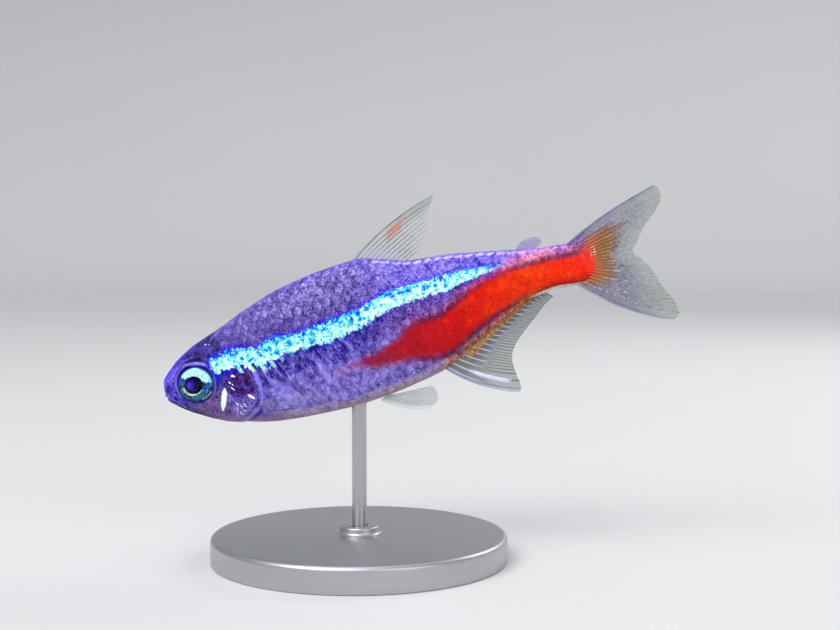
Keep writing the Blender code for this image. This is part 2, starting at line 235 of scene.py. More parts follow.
# --- lines drawn on the side of the fish, as (f, h) ---------------------------------
STRIPE = (  # f, middle height, half width
    (0.120, 0.0200, 0.0010),
    (0.136, 0.0185, 0.0105),
    (0.150, 0.0150, 0.0165),
    (0.180, 0.0175, 0.0180),
    (0.205, 0.0200, 0.0185),
    (0.225, 0.0135, 0.0170),
    (0.250, 0.0085, 0.0190),
    (0.275, 0.0115, 0.0210),
    (0.300, 0.0160, 0.0185),
    (0.340, 0.0145, 0.0165),
    (0.400, 0.0165, 0.0190),
    (0.440, 0.0195, 0.0185),
    (0.480, 0.0250, 0.0180),
    (0.520, 0.0360, 0.0175),
    (0.560, 0.0450, 0.0172),
    (0.600, 0.0475, 0.0160),
    (0.640, 0.0478, 0.0160),
    (0.680, 0.0478, 0.0155),
    (0.720, 0.0495, 0.0118),
    (0.760, 0.0505, 0.0090),
    (0.800, 0.0505, 0.0052),
    (0.825, 0.0475, 0.0005),
)
RED = (  # f, upper height, lower height
    (0.400, -0.0790, -0.0700),
    (0.440, -0.0700, -0.0715),
    (0.470, -0.0620, -0.0800),
    (0.500, -0.0560, -0.0880),
    (0.520, -0.0500, -0.0890),
    (0.540, -0.0440, -0.0890),
    (0.560, -0.0340, -0.0900),
    (0.580, -0.0230, -0.0950),
    (0.600, -0.0170, -0.1010),
    (0.625, -0.0180, -0.1060),
    (0.650, -0.0180, -0.1040),
    (0.680, -0.0085, -0.0920),
    (0.700, 0.0020, -0.0830),
    (0.720, 0.0115, -0.0730),
    (0.740, 0.0190, -0.0640),
    (0.760, 0.0240, -0.0560),
    (0.800, 0.0335, -0.0440),
    (0.840, 0.0365, -0.0370),
    (0.900, 0.0350, -0.0400),
    (0.940, 0.0315, -0.0480),
    (0.970, 0.0300, -0.0500),
    (1.020, 0.0340, -0.0600),
)
PLATE_EDGE = (  # rear edge of the hard gill cover
    (0.176, 0.036),
    (0.190, 0.031),
    (0.203, 0.018),
    (0.212, 0.002),
    (0.219, -0.020),
    (0.2225, -0.045),
    (0.220, -0.070),
    (0.208, -0.091),
    (0.188, -0.104),
    (0.162, -0.112),
    (0.134, -0.113),
)
FLAP_EDGE = (  # its soft margin, then forward under the throat
    (0.184, 0.044),
    (0.200, 0.036),
    (0.216, 0.018),
    (0.227, -0.006),
    (0.234, -0.034),
    (0.2365, -0.060),
    (0.232, -0.082),
    (0.219, -0.101),
    (0.196, -0.115),
    (0.166, -0.1235),
    (0.134, -0.1215),
    (0.104, -0.1110),
)
CHEEK_EDGE = (
    (0.151, 0.008),
    (0.158, -0.018),
    (0.1605, -0.046),
    (0.156, -0.070),
    (0.144, -0.087),
    (0.124, -0.0975),
    (0.098, -0.0945),
)
MAXILLA = ((0.006, -0.0200), (0.018, -0.0300), (0.030, -0.0430), (0.0385, -0.0560))
LOWER_PLATE = ((0.158, -0.088), (0.176, -0.086), (0.196, -0.079), (0.2165, -0.074))
GULAR = (
    ((0.085, -0.0935), (0.120, -0.1095), (0.160, -0.1190), (0.200, -0.1265)),
    ((0.085, -0.0975), (0.120, -0.1135), (0.160, -0.1245), (0.195, -0.1325)),
)


def line_of(points, n=48):
    """The corners of a line, smoothed."""
    p = np.array(points, float)
    s = np.concatenate([[0], np.cumsum(np.hypot(*np.diff(p, axis=0).T))])
    even = np.linspace(0, s[-1], n)
    rows = [(s[i], p[i, 0], p[i, 1]) for i in range(len(p))]
    return np.stack([smooth(rows, 1, even), smooth(rows, 2, even)], -1)


def beside(f, h, points, n=48):
    """Distance to a line, with its side (+ on the left going along), and how far along."""
    line = line_of(points, n)
    best = np.full(f.shape, 1e9)
    sign = np.zeros(f.shape)
    along = np.zeros(f.shape)
    for k in range(len(line) - 1):
        a, d = line[k], line[k + 1] - line[k]
        t = np.clip(((f - a[0]) * d[0] + (h - a[1]) * d[1]) / (d @ d), 0, 1)
        gf, gh = f - a[0] - d[0] * t, h - a[1] - d[1] * t
        gap = np.hypot(gf, gh)
        cross = d[0] * (h - a[1]) - d[1] * (f - a[0])
        near = gap < best
        best = np.where(near, gap, best)
        sign = np.where(near, np.sign(cross), sign)
        along = np.where(near, (k + t) / (len(line) - 1), along)
    return best, sign, along


def stroke(f, h, a, b, ra, rb=None, soft=0.5):
    """1 inside a tapering stroke from a to b, falling softly to 0."""
    rb = ra if rb is None else rb
    d = np.array(b, float) - np.array(a, float)
    t = np.clip(((f - a[0]) * d[0] + (h - a[1]) * d[1]) / max(d @ d, 1e-12), 0, 1)
    gap = np.hypot(f - a[0] - d[0] * t, h - a[1] - d[1] * t)
    r = mix(ra, rb, t)
    return 1 - ramp(r * (1 - soft), r * (1 + soft), gap)


def mouth_height(f):
    return -0.0225 - 0.80 * (f - SNOUT_TIP) + 0.10 * np.clip(f - 0.015, 0, 1)


# --- relief of the skin, outward in standard lengths --------------------------------
def relief(f, y, h):
    side = np.abs(y)
    d = -COAT * ramp(0.17, 0.25, f) - 0.0004 * (1 - ramp(0.17, 0.25, f))
    # eye socket and its rim
    gf, gh = f - EYE_F, h - EYE_H
    r = np.hypot(gf / 1.08, gh / 0.95)
    turn = np.arctan2(gh, gf)
    on_side = ramp(0.012, 0.022, side)
    socket = (1 - ramp(0.0385, 0.0425, r)) * on_side
    d = d - 0.026 * socket
    brow = 0.45 + 0.55 * ramp(-0.2, 0.9, np.sin(turn + 0.1))
    d = d + 0.0026 * bell(r - 0.0462, 0.0026) * brow * on_side
    d = d - 0.0014 * bell(r - 0.0528, 0.0032) * brow * on_side
    under = 1 - ramp(-0.5, 0.1, np.sin(turn))
    d = d - 0.0005 * bell(r - 0.0605, 0.0022) * under * on_side
    d = d + 0.0004 * bell(r - 0.0550, 0.0040) * under * on_side
    # mouth and lips
    gape = h - mouth_height(f)
    reach = 1 - ramp(0.021, 0.029, f)
    d = d - 0.0046 * bell(gape, 0.0013 + 0.0008 * (1 - ramp(-0.004, 0.012, f))) * reach
    d = d + 0.0016 * bell(gape - 0.0052, 0.0030) * reach
    d = d + 0.0015 * bell(gape + 0.0048, 0.0028) * reach
    gap, sign, along = beside(f, h, MAXILLA)
    plate = ramp(0.0, 0.0035, 0.0040 - gap) * on_side * ramp(0.0, 0.25, along)
    d = d + 0.0010 * plate - 0.0009 * bell(gap - 0.0052, 0.0011) * on_side
    # chin
    d = d - 0.0012 * bell(h - belly(f) - 0.006, 0.0012) * ramp(0.01, 0.03, f) * (1 - ramp(0.09, 0.12, f))
    # nostrils
    for nf, nh, size, deep in ((0.0245, 0.0090, 0.0030, 0.0042), (0.0330, 0.0125, 0.0040, 0.0052)):
        rn = np.hypot(f - nf, (h - nh) * 1.15)
        d = d - deep * (1 - ramp(size * 0.35, size, rn)) * on_side
        d = d + 0.0011 * bell(rn - size * 1.25, size * 0.35) * on_side
    # gill cover: hard plate, soft margin, cheek groove, throat folds
    fade_top = 1 - ramp(0.030, 0.048, h)
    gap, sign, along = beside(f, h, FLAP_EDGE)
    gap = gap * -sign
    ends = ramp(0.0, 0.10, along) * (1 - ramp(0.93, 1.0, along))
    lift = np.where(gap > 0, 0.0019 * np.exp(-gap / 0.018), -0.0022 * np.exp(gap / 0.0070))
    d = d + lift * ends
    gap, sign, along = beside(f, h, PLATE_EDGE)
    gap = gap * -sign
    ends = ramp(0.0, 0.12, along) * (1 - ramp(0.90, 1.0, along))
    d = d + ends * np.where(
        gap > 0, 0.0011 * np.exp(-gap / 0.010), -0.0009 * np.exp(gap / 0.0030)
    )
    gap, sign, along = beside(f, h, CHEEK_EDGE)
    gap = gap * -sign
    ends = ramp(0.0, 0.15, along) * (1 - ramp(0.85, 1.0, along))
    d = d + ends * np.where(
        gap > 0, 0.0006 * np.exp(-gap / 0.010), -0.0008 * np.exp(gap / 0.0030)
    )
    gap, sign, along = beside(f, h, LOWER_PLATE)
    d = d - 0.0010 * bell(gap, 0.0012) * np.sin(np.pi * np.clip(along, 0, 1))
    for line in GULAR:
        gap, sign, along = beside(f, h, line)
        d = d - 0.0013 * bell(gap, 0.0013) * np.sin(np.pi * np.clip(along, 0, 1))
    # skull: crest, canals and pores
    d = d + 0.0010 * bell(side, 0.006) * ramp(0.05, 0.09, f) * (1 - ramp(0.16, 0.20, f)) * (h > 0)
    for pf, ph in (
        (0.060, 0.0440), (0.078, 0.0520), (0.098, 0.0560), (0.118, 0.0600), (0.137, 0.0625),
        (0.155, 0.0560), (0.166, 0.0430), (0.140, 0.0380),
    ):
        rn = np.hypot(f - pf, h - ph)
        d = d - 0.0012 * bell(rn, 0.0012) + 0.0005 * bell(rn - 0.0026, 0.0009)
    gap, sign, along = beside(
        f, h, ((0.046, 0.034), (0.078, 0.0460), (0.112, 0.0480), (0.150, 0.0500), (0.185, 0.0560))
    )
    d = d + 0.0006 * bell(gap, 0.0030)
    # edge of the nape, where the scales begin
    d = d - 0.0008 * bell(f - (0.176 + 0.25 * np.clip(0.09 - h, -0.05, 0.1)), 0.0022) * ramp(0.055, 0.07, h)
    return d


# --- markings, as numbers on each point ---------------------------------------------
def markings(p, y_side):
    """Smooth fields that the materials turn into colours."""
    f, h = p[..., 0], p[..., 2]
    out = {}
    out["stripe"] = (h - smooth(STRIPE, 1, f)) / smooth(STRIPE, 2, f)
    over = h - smooth(STRIPE, 1, f) - smooth(STRIPE, 2, f)
    under = smooth(STRIPE, 1, f) - smooth(STRIPE, 2, f) - h
    out["above"] = over
    out["below"] = under
    upper, lower = smooth(RED, 1, f), smooth(RED, 2, f)
    out["red"] = np.where(f < 0.40, -0.03, np.minimum(upper - h, h - lower))
    out["from_back"] = back(f) - h
    out["from_belly"] = h - belly(f)
    gf, gh = f - EYE_F, h - EYE_H
    out["eye"] = np.hypot(gf / 1.08, gh / 0.95) / EYE_R
    gap, sign, along = beside(f, h, FLAP_EDGE)
    out["flap"] = np.where(f < 0.3, gap * -sign, -0.1)
    gap, sign, along = beside(f, h, PLATE_EDGE)
    out["plate"] = np.where(f < 0.3, gap * -sign, -0.1)
    # bright silver spots, and painted glints on scales
    w = np.zeros(f.shape)
    for a, b, ra, rb, amount in SILVER_AND_GLINTS:
        w = np.maximum(w, amount * stroke(f, h, a, b, ra, rb))
    out["silver_and_glint"] = w
    # lavender sheen
    w = np.zeros(f.shape)
    for a, b, ra, rb, amount in SHEEN:
        w = np.maximum(w, amount * stroke(f, h, a, b, ra, rb, 0.9))
    out["sheen"] = w
    w = np.zeros(f.shape)
    for a, b, ra, rb, amount in BACK_GLINTS:
        w = np.maximum(w, amount * stroke(f, h, a, b, ra, rb, 0.8))
    out["back_glint"] = w
    return out


SILVER_AND_GLINTS = [
    ((0.1474, -0.0500), (0.1352, -0.0740), 0.0065, 0.0057, 1.15),  # cheek streak
    ((0.1760, -0.0165), (0.1820, -0.0195), 0.0034, 0.0026, 0.8),
    ((0.1655, -0.0290), (0.1680, -0.0315), 0.0028, 0.0022, 0.85),
    ((0.1715, -0.0345), (0.1730, -0.0375), 0.0018, 0.0018, 0.75),
    ((0.1665, -0.0410), (0.1715, -0.0480), 0.0020, 0.0024, 0.7),
    ((0.1890, -0.0250), (0.1905, -0.0290), 0.0016, 0.0014, 0.45),
    ((0.1960, -0.0500), (0.1980, -0.0540), 0.0020, 0.0016, 0.45),
    ((0.2020, -0.0700), (0.2090, -0.0770), 0.0048, 0.0038, 0.95),
    ((0.1975, -0.0660), (0.1990, -0.0680), 0.0024, 0.0020, 0.6),
    ((0.1560, -0.0560), (0.1610, -0.0640), 0.0026, 0.0022, 0.45),
    ((0.1780, -0.0800), (0.1840, -0.0880), 0.0036, 0.0030, 0.50),
    ((0.1620, -0.0890), (0.1700, -0.0960), 0.0034, 0.0030, 0.45),
    ((0.1580, -0.1010), (0.1740, -0.1040), 0.0030, 0.0034, 0.55),
    ((0.1080, -0.0900), (0.1120, -0.0910), 0.0026, 0.0024, 0.40),
    # painted glints on the top of the head
    ((0.1290, 0.0660), (0.1310, 0.0665), 0.0022, 0.0020, 0.75),
    ((0.1390, 0.0630), (0.1405, 0.0632), 0.0022, 0.0020, 0.70),
    ((0.1620, 0.0660), (0.1800, 0.0750), 0.0016, 0.0022, 0.40),
    ((0.1700, 0.0560), (0.1770, 0.0580), 0.0020, 0.0022, 0.42),
    ((0.0950, 0.0325), (0.1060, 0.0290), 0.0016, 0.0020, 0.60),  # glint on the brow
]
SILVER_AND_GLINTS = SILVER_AND_GLINTS[:1] + [(a, b, ra * 0.84, rb * 0.84, w) for a, b, ra, rb, w in SILVER_AND_GLINTS[1:]]
SILVER_AND_GLINTS += [
    ((0.1495, -0.0450), (0.1515, -0.0410), 0.0044, 0.0022, 1.0),
    ((0.1330, -0.0760), (0.1290, -0.0850), 0.0050, 0.0024, 1.0),
    ((0.1660, -0.0780), (0.1690, -0.0830), 0.0026, 0.0022, 0.60),
    ((0.1740, -0.0860), (0.1750, -0.0930), 0.0024, 0.0026, 0.62),
    ((0.1840, -0.0860), (0.1860, -0.0910), 0.0024, 0.0020, 0.62),
    ((0.1620, -0.0950), (0.1680, -0.0990), 0.0026, 0.0024, 0.60),
    ((0.1760, -0.0980), (0.1830, -0.1010), 0.0022, 0.0022, 0.60),
  # painted highlights on scales of the ridge before the dorsal fin
    ((0.3760, 0.1335), (0.3850, 0.1310), 0.0030, 0.0026, 0.50),
    ((0.4010, 0.1370), (0.4080, 0.1330), 0.0026, 0.0022, 0.55),
    ((0.4660, 0.1420), (0.4760, 0.1410), 0.0026, 0.0026, 0.50),
]
for at in (0.296, 0.318, 0.342, 0.366, 0.379, 0.404, 0.418, 0.444, 0.456):  # painted glints on the belly scales
    SILVER_AND_GLINTS.append(
        ((at, -0.1375 - 0.004 * math.sin(at * 90)), (at + 0.007, -0.1385), 0.0020, 0.0024, 0.55)
    )
# painted glints on belly scales further back
SILVER_AND_GLINTS += [
    ((0.532, -0.1260), (0.539, -0.1245), 0.0020, 0.0018, 0.6),
    ((0.558, -0.1235), (0.573, -0.1205), 0.0018, 0.0022, 0.7),
    ((0.484, -0.1230), (0.497, -0.1280), 0.0026, 0.0026, 0.45),
]
BACK_GLINTS = []
for k in range(19):  # painted glints on the scale edges along the back, behind the dorsal fin
    at = 0.540 + 0.0224 * k
    if at < 0.955:
        rise = float(back(at)) - 0.0085
        drop = float(back(at + 0.013)) - 0.0060
        BACK_GLINTS.append(((at, rise), (at + 0.0130, drop), 0.0024, 0.0034, 1.0))

SHEEN = [
    ((0.2290, -0.0180), (0.2330, -0.0500), 0.0060, 0.0070, 0.9),  # gill flap
    ((0.2330, -0.0500), (0.2300, -0.0850), 0.0070, 0.0060, 0.7),
    ((0.2580, -0.0500), (0.2880, -0.0830), 0.0060, 0.0110, 0.9),
    ((0.2700, -0.0820), (0.2780, -0.0960), 0.0060, 0.0050, 0.95),
    ((0.2850, -0.0850), (0.2900, -0.1150), 0.0110, 0.0150, 0.55),
    ((0.3250, -0.0480), (0.3400, -0.0950), 0.0050, 0.0100, 0.40),
    ((0.3660, -0.0180), (0.3750, -0.0600), 0.0045, 0.0060, 0.75),
    ((0.3750, -0.0600), (0.3880, -0.0920), 0.0060, 0.0060, 0.85),
    ((0.4120, -0.0540), (0.4300, -0.0800), 0.0050, 0.0060, 0.45),
    ((0.4460, -0.0440), (0.4530, -0.0580), 0.0050, 0.0050, 0.65),
    ((0.3300, -0.1130), (0.4500, -0.1180), 0.0120, 0.0120, 0.35),
    ((0.1560, -0.0600), (0.1620, -0.0850), 0.0070, 0.0080, 0.6),
    ((0.0330, 0.0120), (0.0450, 0.0310), 0.0050, 0.0040, 0.5),
    ((0.0450, 0.0310), (0.0700, 0.0360), 0.0040, 0.0036, 0.6),
    ((0.0700, 0.0360), (0.1200, 0.0240), 0.0036, 0.0044, 0.75),
    ((0.3640, 0.1330), (0.3820, 0.1300), 0.0060, 0.0050, 0.7),
    ((0.4000, 0.1380), (0.4080, 0.1280), 0.0060, 0.0040, 0.85),
    ((0.4300, 0.1400), (0.4500, 0.1400), 0.0050, 0.0060, 0.5),
    ((0.4650, 0.1420), (0.4780, 0.1420), 0.0060, 0.0050, 0.75),
    ((0.4950, 0.1300), (0.5050, 0.1180), 0.0050, 0.0050, 0.4),
    ((0.5350, 0.1220), (0.5420, 0.1080), 0.0050, 0.0050, 0.45),
]


# --- meshes from arrays --------------------------------------------------------------
def make_mesh(name, points, faces, fields=None, uv=None, sharp=None):
    """points (n, 3) in metres; faces a list of equal-width index arrays."""
    mesh = bpy.data.meshes.new(name)
    groups = [np.asarray(g, np.int32) for g in faces if len(g)]
    counts = np.concatenate([np.full(len(g), g.shape[1], np.int32) for g in groups])
    loops = np.concatenate([g.ravel() for g in groups])
    mesh.vertices.add(len(points))
    mesh.vertices.foreach_set("co", np.asarray(points, np.float32).ravel())
    mesh.loops.add(len(loops))
    mesh.loops.foreach_set("vertex_index", loops)
    mesh.polygons.add(len(counts))
    starts = np.concatenate([[0], np.cumsum(counts)[:-1]]).astype(np.int32)
    mesh.polygons.foreach_set("loop_start", starts)
    mesh.update(calc_edges=True)
    for key, values in (fields or {}).items():
        values = np.asarray(values, np.float32)
        if values.ndim == 2:
            made = mesh.attributes.new(key, "FLOAT_VECTOR", "POINT")
            made.data.foreach_set("vector", values.ravel())
        else:
            made = mesh.attributes.new(key, "FLOAT", "POINT")
            made.data.foreach_set("value", values)
    if uv is not None:
        layer = mesh.uv_layers.new(name="OFBake")
        layer.data.foreach_set("uv", np.asarray(uv, np.float32).ravel())
    mesh.validate()
    mesh.shade_smooth()
    if sharp:
        mesh.set_sharp_from_angle(angle=math.radians(sharp))
    made = bpy.data.objects.new(name, mesh)
    bpy.context.scene.collection.objects.link(made)
    return made


def loop_values(faces, per_vertex):
    return np.concatenate([per_vertex[np.asarray(g).ravel()] for g in faces if len(g)])


# --- material nodes, written as sums ------------------------------------------------
def srgb(r, g, b):
    v = np.array([r, g, b], float) / 255
    v = np.where(v <= 0.04045, v / 12.92, ((v + 0.055) / 1.055) ** 2.4)
    return (float(v[0]), float(v[1]), float(v[2]), 1.0)


class Sock:
    def __init__(self, graph, socket):
        self.g, self.s = graph, socket

    def _do(self, op, other, swap=False):
        a, b = (other, self) if swap else (self, other)
        return self.g.math(op, a, b)

    def __add__(self, o): return self._do("ADD", o)
    def __radd__(self, o): return self._do("ADD", o, True)
    def __sub__(self, o): return self._do("SUBTRACT", o)
    def __rsub__(self, o): return self._do("SUBTRACT", o, True)
    def __mul__(self, o): return self._do("MULTIPLY", o)
    def __rmul__(self, o): return self._do("MULTIPLY", o, True)
    def __truediv__(self, o): return self._do("DIVIDE", o)
    def __pow__(self, o): return self._do("POWER", o)


class Graph:
    def __init__(self, name):
        self.mat = bpy.data.materials.new(name)
        self.mat.use_nodes = True
        self.tree = self.mat.node_tree
        self.bsdf = self.tree.nodes["Principled BSDF"]
        self.out = self.tree.nodes["Material Output"]
        self.cache = {}

    def put(self, socket, value):
        if isinstance(value, Sock):
            self.tree.links.new(value.s, socket)
        elif value is not None:
            if isinstance(value, (int, float)) and socket.type in ("RGBA", "VECTOR"):
                value = (value,) * (4 if socket.type == "RGBA" else 3)
            socket.default_value = value

    def node(self, kind, **settings):
        made = self.tree.nodes.new(kind)
        for key, value in settings.items():
            setattr(made, key, value)
        return made

    def math(self, op, a, b=None, c=None, clamp=False):
        n = self.node("ShaderNodeMath", operation=op, use_clamp=clamp)
        self.put(n.inputs[0], a)
        if b is not None:
            self.put(n.inputs[1], b)
        if c is not None:
            self.put(n.inputs[2], c)
        return Sock(self, n.outputs[0])

    def field(self, name, kind="Fac"):
        if name not in self.cache:
            self.cache[name] = self.node("ShaderNodeAttribute", attribute_name=name)
        return Sock(self, self.cache[name].outputs[kind])

    def step(self, lo, hi, x):
        n = self.node("ShaderNodeMapRange", interpolation_type="SMOOTHSTEP")
        self.put(n.inputs["Value"], x)
        if lo < hi:
            n.inputs["From Min"].default_value, n.inputs["From Max"].default_value = lo, hi
            n.inputs["To Min"].default_value, n.inputs["To Max"].default_value = 0, 1
        else:
            n.inputs["From Min"].default_value, n.inputs["From Max"].default_value = hi, lo
            n.inputs["To Min"].default_value, n.inputs["To Max"].default_value = 1, 0
        return Sock(self, n.outputs["Result"])

    def mix(self, a, b, fac):
        n = self.node("ShaderNodeMix", data_type="RGBA", clamp_factor=True)
        self.put(n.inputs[0], fac)
        self.put(n.inputs[6], a)
        self.put(n.inputs[7], b)
        return Sock(self, n.outputs[2])

    def blend(self, a, b, fac, way):
        n = self.node("ShaderNodeMix", data_type="RGBA", blend_type=way, clamp_factor=True)
        self.put(n.inputs[0], fac)
        self.put(n.inputs[6], a)
        self.put(n.inputs[7], b)
        return Sock(self, n.outputs[2])

    def vector(self, x, y, z):
        n = self.node("ShaderNodeCombineXYZ")
        for i, v in enumerate((x, y, z)):
            self.put(n.inputs[i], v)
        return Sock(self, n.outputs[0])

    def parts(self, v):
        n = self.node("ShaderNodeSeparateXYZ")
        self.put(n.inputs[0], v)
        return [Sock(self, n.outputs[i]) for i in range(3)]

    def noise(self, v, scale, detail=2.0, rough=0.5, distortion=0.0, out="Fac"):
        n = self.node("ShaderNodeTexNoise", noise_dimensions="3D")
        self.put(n.inputs["Vector"], v)
        n.inputs["Scale"].default_value = scale
        n.inputs["Detail"].default_value = detail
        n.inputs["Roughness"].default_value = rough
        n.inputs["Distortion"].default_value = distortion
        return Sock(self, n.outputs[out])

    def cells(self, v, scale, feature="F1", out="Distance", random=1.0):
        n = self.node("ShaderNodeTexVoronoi", feature=feature)
        self.put(n.inputs["Vector"], v)
        n.inputs["Scale"].default_value = scale
        n.inputs["Randomness"].default_value = random
        return Sock(self, n.outputs[out])

    def colours(self, x, stops):
        n = self.node("ShaderNodeValToRGB")
        self.put(n.inputs[0], x)
        ramp_ = n.color_ramp
        while len(ramp_.elements) < len(stops):
            ramp_.elements.new(0.5)
        for e, (at, colour) in zip(ramp_.elements, stops):
            e.position, e.color = at, colour
        return Sock(self, n.outputs[0])

    def bump(self, height, strength, distance, normal=None):
        n = self.node("ShaderNodeBump")
        n.inputs["Strength"].default_value = strength
        n.inputs["Distance"].default_value = distance
        self.put(n.inputs["Height"], height)
        if normal is not None:
            self.put(n.inputs["Normal"], normal)
        return Sock(self, n.outputs[0])

    def set(self, **values):
        for key, value in values.items():
            self.put(self.bsdf.inputs[key.replace("_", " ")], value)


# --- the fish's colours: one set of rules for skin and scales -----------------------
def fish_paint(g):
    """Returns colour and the amount of silver and painted glint from the fields on the mesh."""
    flat = g.field("flat", "Vector")  # millimetres on the straight fish
    fx, fy, fz = g.parts(flat)
    f = fx * (1 / MM)
    h = fz * (1 / MM)
    stripe = g.field("stripe")
    above, below = g.field("above"), g.field("below")
    red, from_back, from_belly = g.field("red"), g.field("from_back"), g.field("from_belly")
    eye, flap, plate = g.field("eye"), g.field("flap"), g.field("plate")
    silver_and_glint, sheen, back_glint = g.field("silver_and_glint"), g.field("sheen"), g.field("back_glint")

    slant = g.vector(fx + fz * 0.45, fy * 0.5, fz * 0.36)  # streaks lean down and back
    fine = g.noise(flat, 6.5, 3.0, 0.6)
    grain = g.noise(flat, 14.0, 2.0, 0.6)
    mottle = g.noise(flat, 2.0, 3.0, 0.55)
    tooth = g.noise(slant, 3.2, 2.5, 0.62)
    blob = g.noise(flat, 3.7, 2.0, 0.55)
    speck = g.noise(flat, 8.5, 2.0, 0.6)
    rough = (mottle - 0.5) * 0.9 + (fine - 0.5) * 1.25 + (grain - 0.5) * 1.15 + 0.5
    coarse = (mottle - 0.5) * 1.5 + (fine - 0.5) * 1.0 + (tooth - 0.5) * 0.8 + 0.5

    # back
    rear = g.step(0.44, 0.62, f)
    calm = g.step(0.36, 0.26, f) * 0.45
    grained = g.step(0.20, 0.80, (rough - 0.5) * (1.0 - calm) + 0.5)
    body = g.mix(srgb(44, 36, 104), srgb(130, 119, 192), grained)
    body = g.mix(body, srgb(172, 160, 226), g.step(0.66, 0.92, coarse) * 0.42)
    body = g.mix(body, g.mix(srgb(66, 52, 160), srgb(150, 136, 238), g.step(0.16, 0.84, rough)), rear * 0.8)
    low_back = g.step(0.070, 0.004, above)
    body = g.mix(body, g.mix(srgb(44, 26, 96), srgb(92, 66, 150), rough), low_back * (1.0 - rear) * 0.65)
    # painted highlight: lighter along the top line of the back
    body = g.mix(body, g.mix(srgb(96, 80, 200), srgb(160, 142, 246), rough), g.step(0.016, 0.002, from_back) * 0.32)
    dots = g.step(0.30, 0.14, g.cells(flat, 6.2)) * g.step(0.46, 0.62, g.noise(flat, 1.6, 2.0))
    body = g.mix(body, srgb(26, 18, 74), dots * 0.6 * g.step(0.002, 0.02, above))

    # under the stripe
    under = g.mix(srgb(20, 14, 96), srgb(106, 96, 190), g.step(0.10, 0.90, rough))
    under = g.mix(under, srgb(142, 126, 208), g.step(0.66, 0.95, coarse) * 0.45)
    lean = g.noise(g.vector(fx * 0.95 + fz * 0.34, fy * 0.5, (fx * 0.27 - fz * 0.96) * 0.13), 6.6, 2.5, 0.55)
    under = g.mix(under, srgb(14, 6, 96), g.step(0.50, 0.36, lean) * g.step(0.50, 0.42, f) * 0.80)
    under = g.mix(under, srgb(144, 136, 238), g.step(0.54, 0.68, lean) * g.step(0.50, 0.42, f) * 0.70)
    under = g.mix(under, g.mix(srgb(54, 32, 98), srgb(124, 96, 172), g.step(0.15, 0.85, rough)), g.step(0.46, 0.58, f) * 0.85)
    flank = g.step(-0.004, 0.006, below + (fine - 0.5) * 0.008)
    body = g.mix(body, under, flank)
    # belly
    pale = g.mix(srgb(84, 72, 146), srgb(146, 132, 208), g.step(0.15, 0.85, coarse))
    depth = g.step(0.034, 0.082, below + (mottle - 0.5) * 0.034)
    body = g.mix(body, pale, depth * g.step(0.20, 0.26, f) * g.step(0.68, 0.60, f))
    edge = g.mix(srgb(126, 108, 146), srgb(178, 160, 186), g.step(0.2, 0.8, rough))
    body = g.mix(body, edge, g.step(0.028, 0.016, from_belly + (fine - 0.5) * 0.008) * 0.85 * g.step(0.22, 0.27, f))
    tint = g.mix(srgb(168, 116, 122), srgb(142, 134, 130), g.noise(flat, 0.9, 2.0))
    body = g.mix(body, tint, g.step(0.015, 0.004, from_belly) * 0.7 * g.step(0.64, 0.56, f))
    fold = g.step(0.0024, 0.0008, g.math("ABSOLUTE", from_belly - 0.0265 - (0.30 - f) * 0.05))
    body = g.mix(body, srgb(40, 28, 104), fold * g.step(0.215, 0.235, f) * g.step(0.33, 0.27, f) * 0.75)

    # head
    easy = (mottle - 0.5) * 1.5 + (fine - 0.5) * 1.0 + (grain - 0.5) * 0.6 + 0.5
    top_head = g.mix(srgb(20, 14, 64), srgb(76, 68, 148), g.step(0.22, 0.78, easy))
    snout = g.mix(srgb(38, 30, 116), srgb(120, 110, 232), g.step(0.20, 0.80, easy))
    face = g.mix(snout, top_head, g.step(0.03, 0.09, f + h * 0.35))
    cheek = g.mix(srgb(30, 16, 74), srgb(118, 98, 160), g.step(0.22, 0.78, rough))
    face = g.mix(face, cheek, g.step(-0.024, -0.056, h) * g.step(0.03, 0.08, f))
    rosy = g.step(0.50, 0.68, g.noise(flat, 1.7, 2.0)) * g.step(-0.050, -0.070, h)
    face = g.mix(face, srgb(128, 92, 116), rosy * 0.5)
    # painted highlight: lighter along the top line of the snout and forehead
    face = g.mix(face, srgb(96, 82, 232), g.step(0.026, 0.004, from_back) * g.step(0.14, 0.02, f) * 0.45)
    maroon = g.mix(srgb(26, 8, 48), srgb(104, 76, 186), g.step(0.38, 0.70, g.noise(flat, 3.6, 3.0, 0.62) * 0.6 + rough * 0.4))
    maroon = g.mix(maroon, srgb(82, 14, 38), g.step(0.50, 0.66, g.noise(g.vector(fx, fy, fz + 9.0), 2.6, 2.0)) * g.step(0.17, 0.20, f) * 0.75)
    maroon = g.mix(maroon, srgb(18, 6, 52), g.step(0.56, 0.24, rough) * 0.6)
    on_plate = g.step(-0.003, 0.003, plate) * g.step(0.148, 0.163, f) * g.step(0.012, 0.0, h) * g.step(-0.094, -0.066, h)
    face = g.mix(face, maroon, on_plate)
    plate_low = g.mix(srgb(74, 58, 132), srgb(142, 126, 206), g.step(0.15, 0.85, rough))
    face = g.mix(face, plate_low, g.step(0.140, 0.158, f) * g.step(-0.062, -0.084, h) * 0.75)
    cover = g.math("MAXIMUM", g.step(-0.002, 0.004, flap), g.step(0.038, 0.050, h))
    nape = g.step(0.186, 0.132, f + (mottle - 0.5) * 0.06 + (fine - 0.5) * 0.03 - g.step(0.052, 0.030, h) * 0.2)
    body = g.mix(body, face, cover * g.step(0.30, 0.24, f) * nape)
    soft = g.step(-0.002, 0.004, flap) * g.step(0.003, -0.004, plate) * g.step(0.195, 0.212, f) * g.step(0.022, -0.008, h)
    body = g.mix(body, g.mix(srgb(28, 24, 100), srgb(112, 108, 216), g.step(0.2, 0.8, rough)), soft * 0.90)
    throat = g.mix(srgb(150, 112, 128), srgb(120, 104, 160), g.noise(flat, 1.6, 2.0))
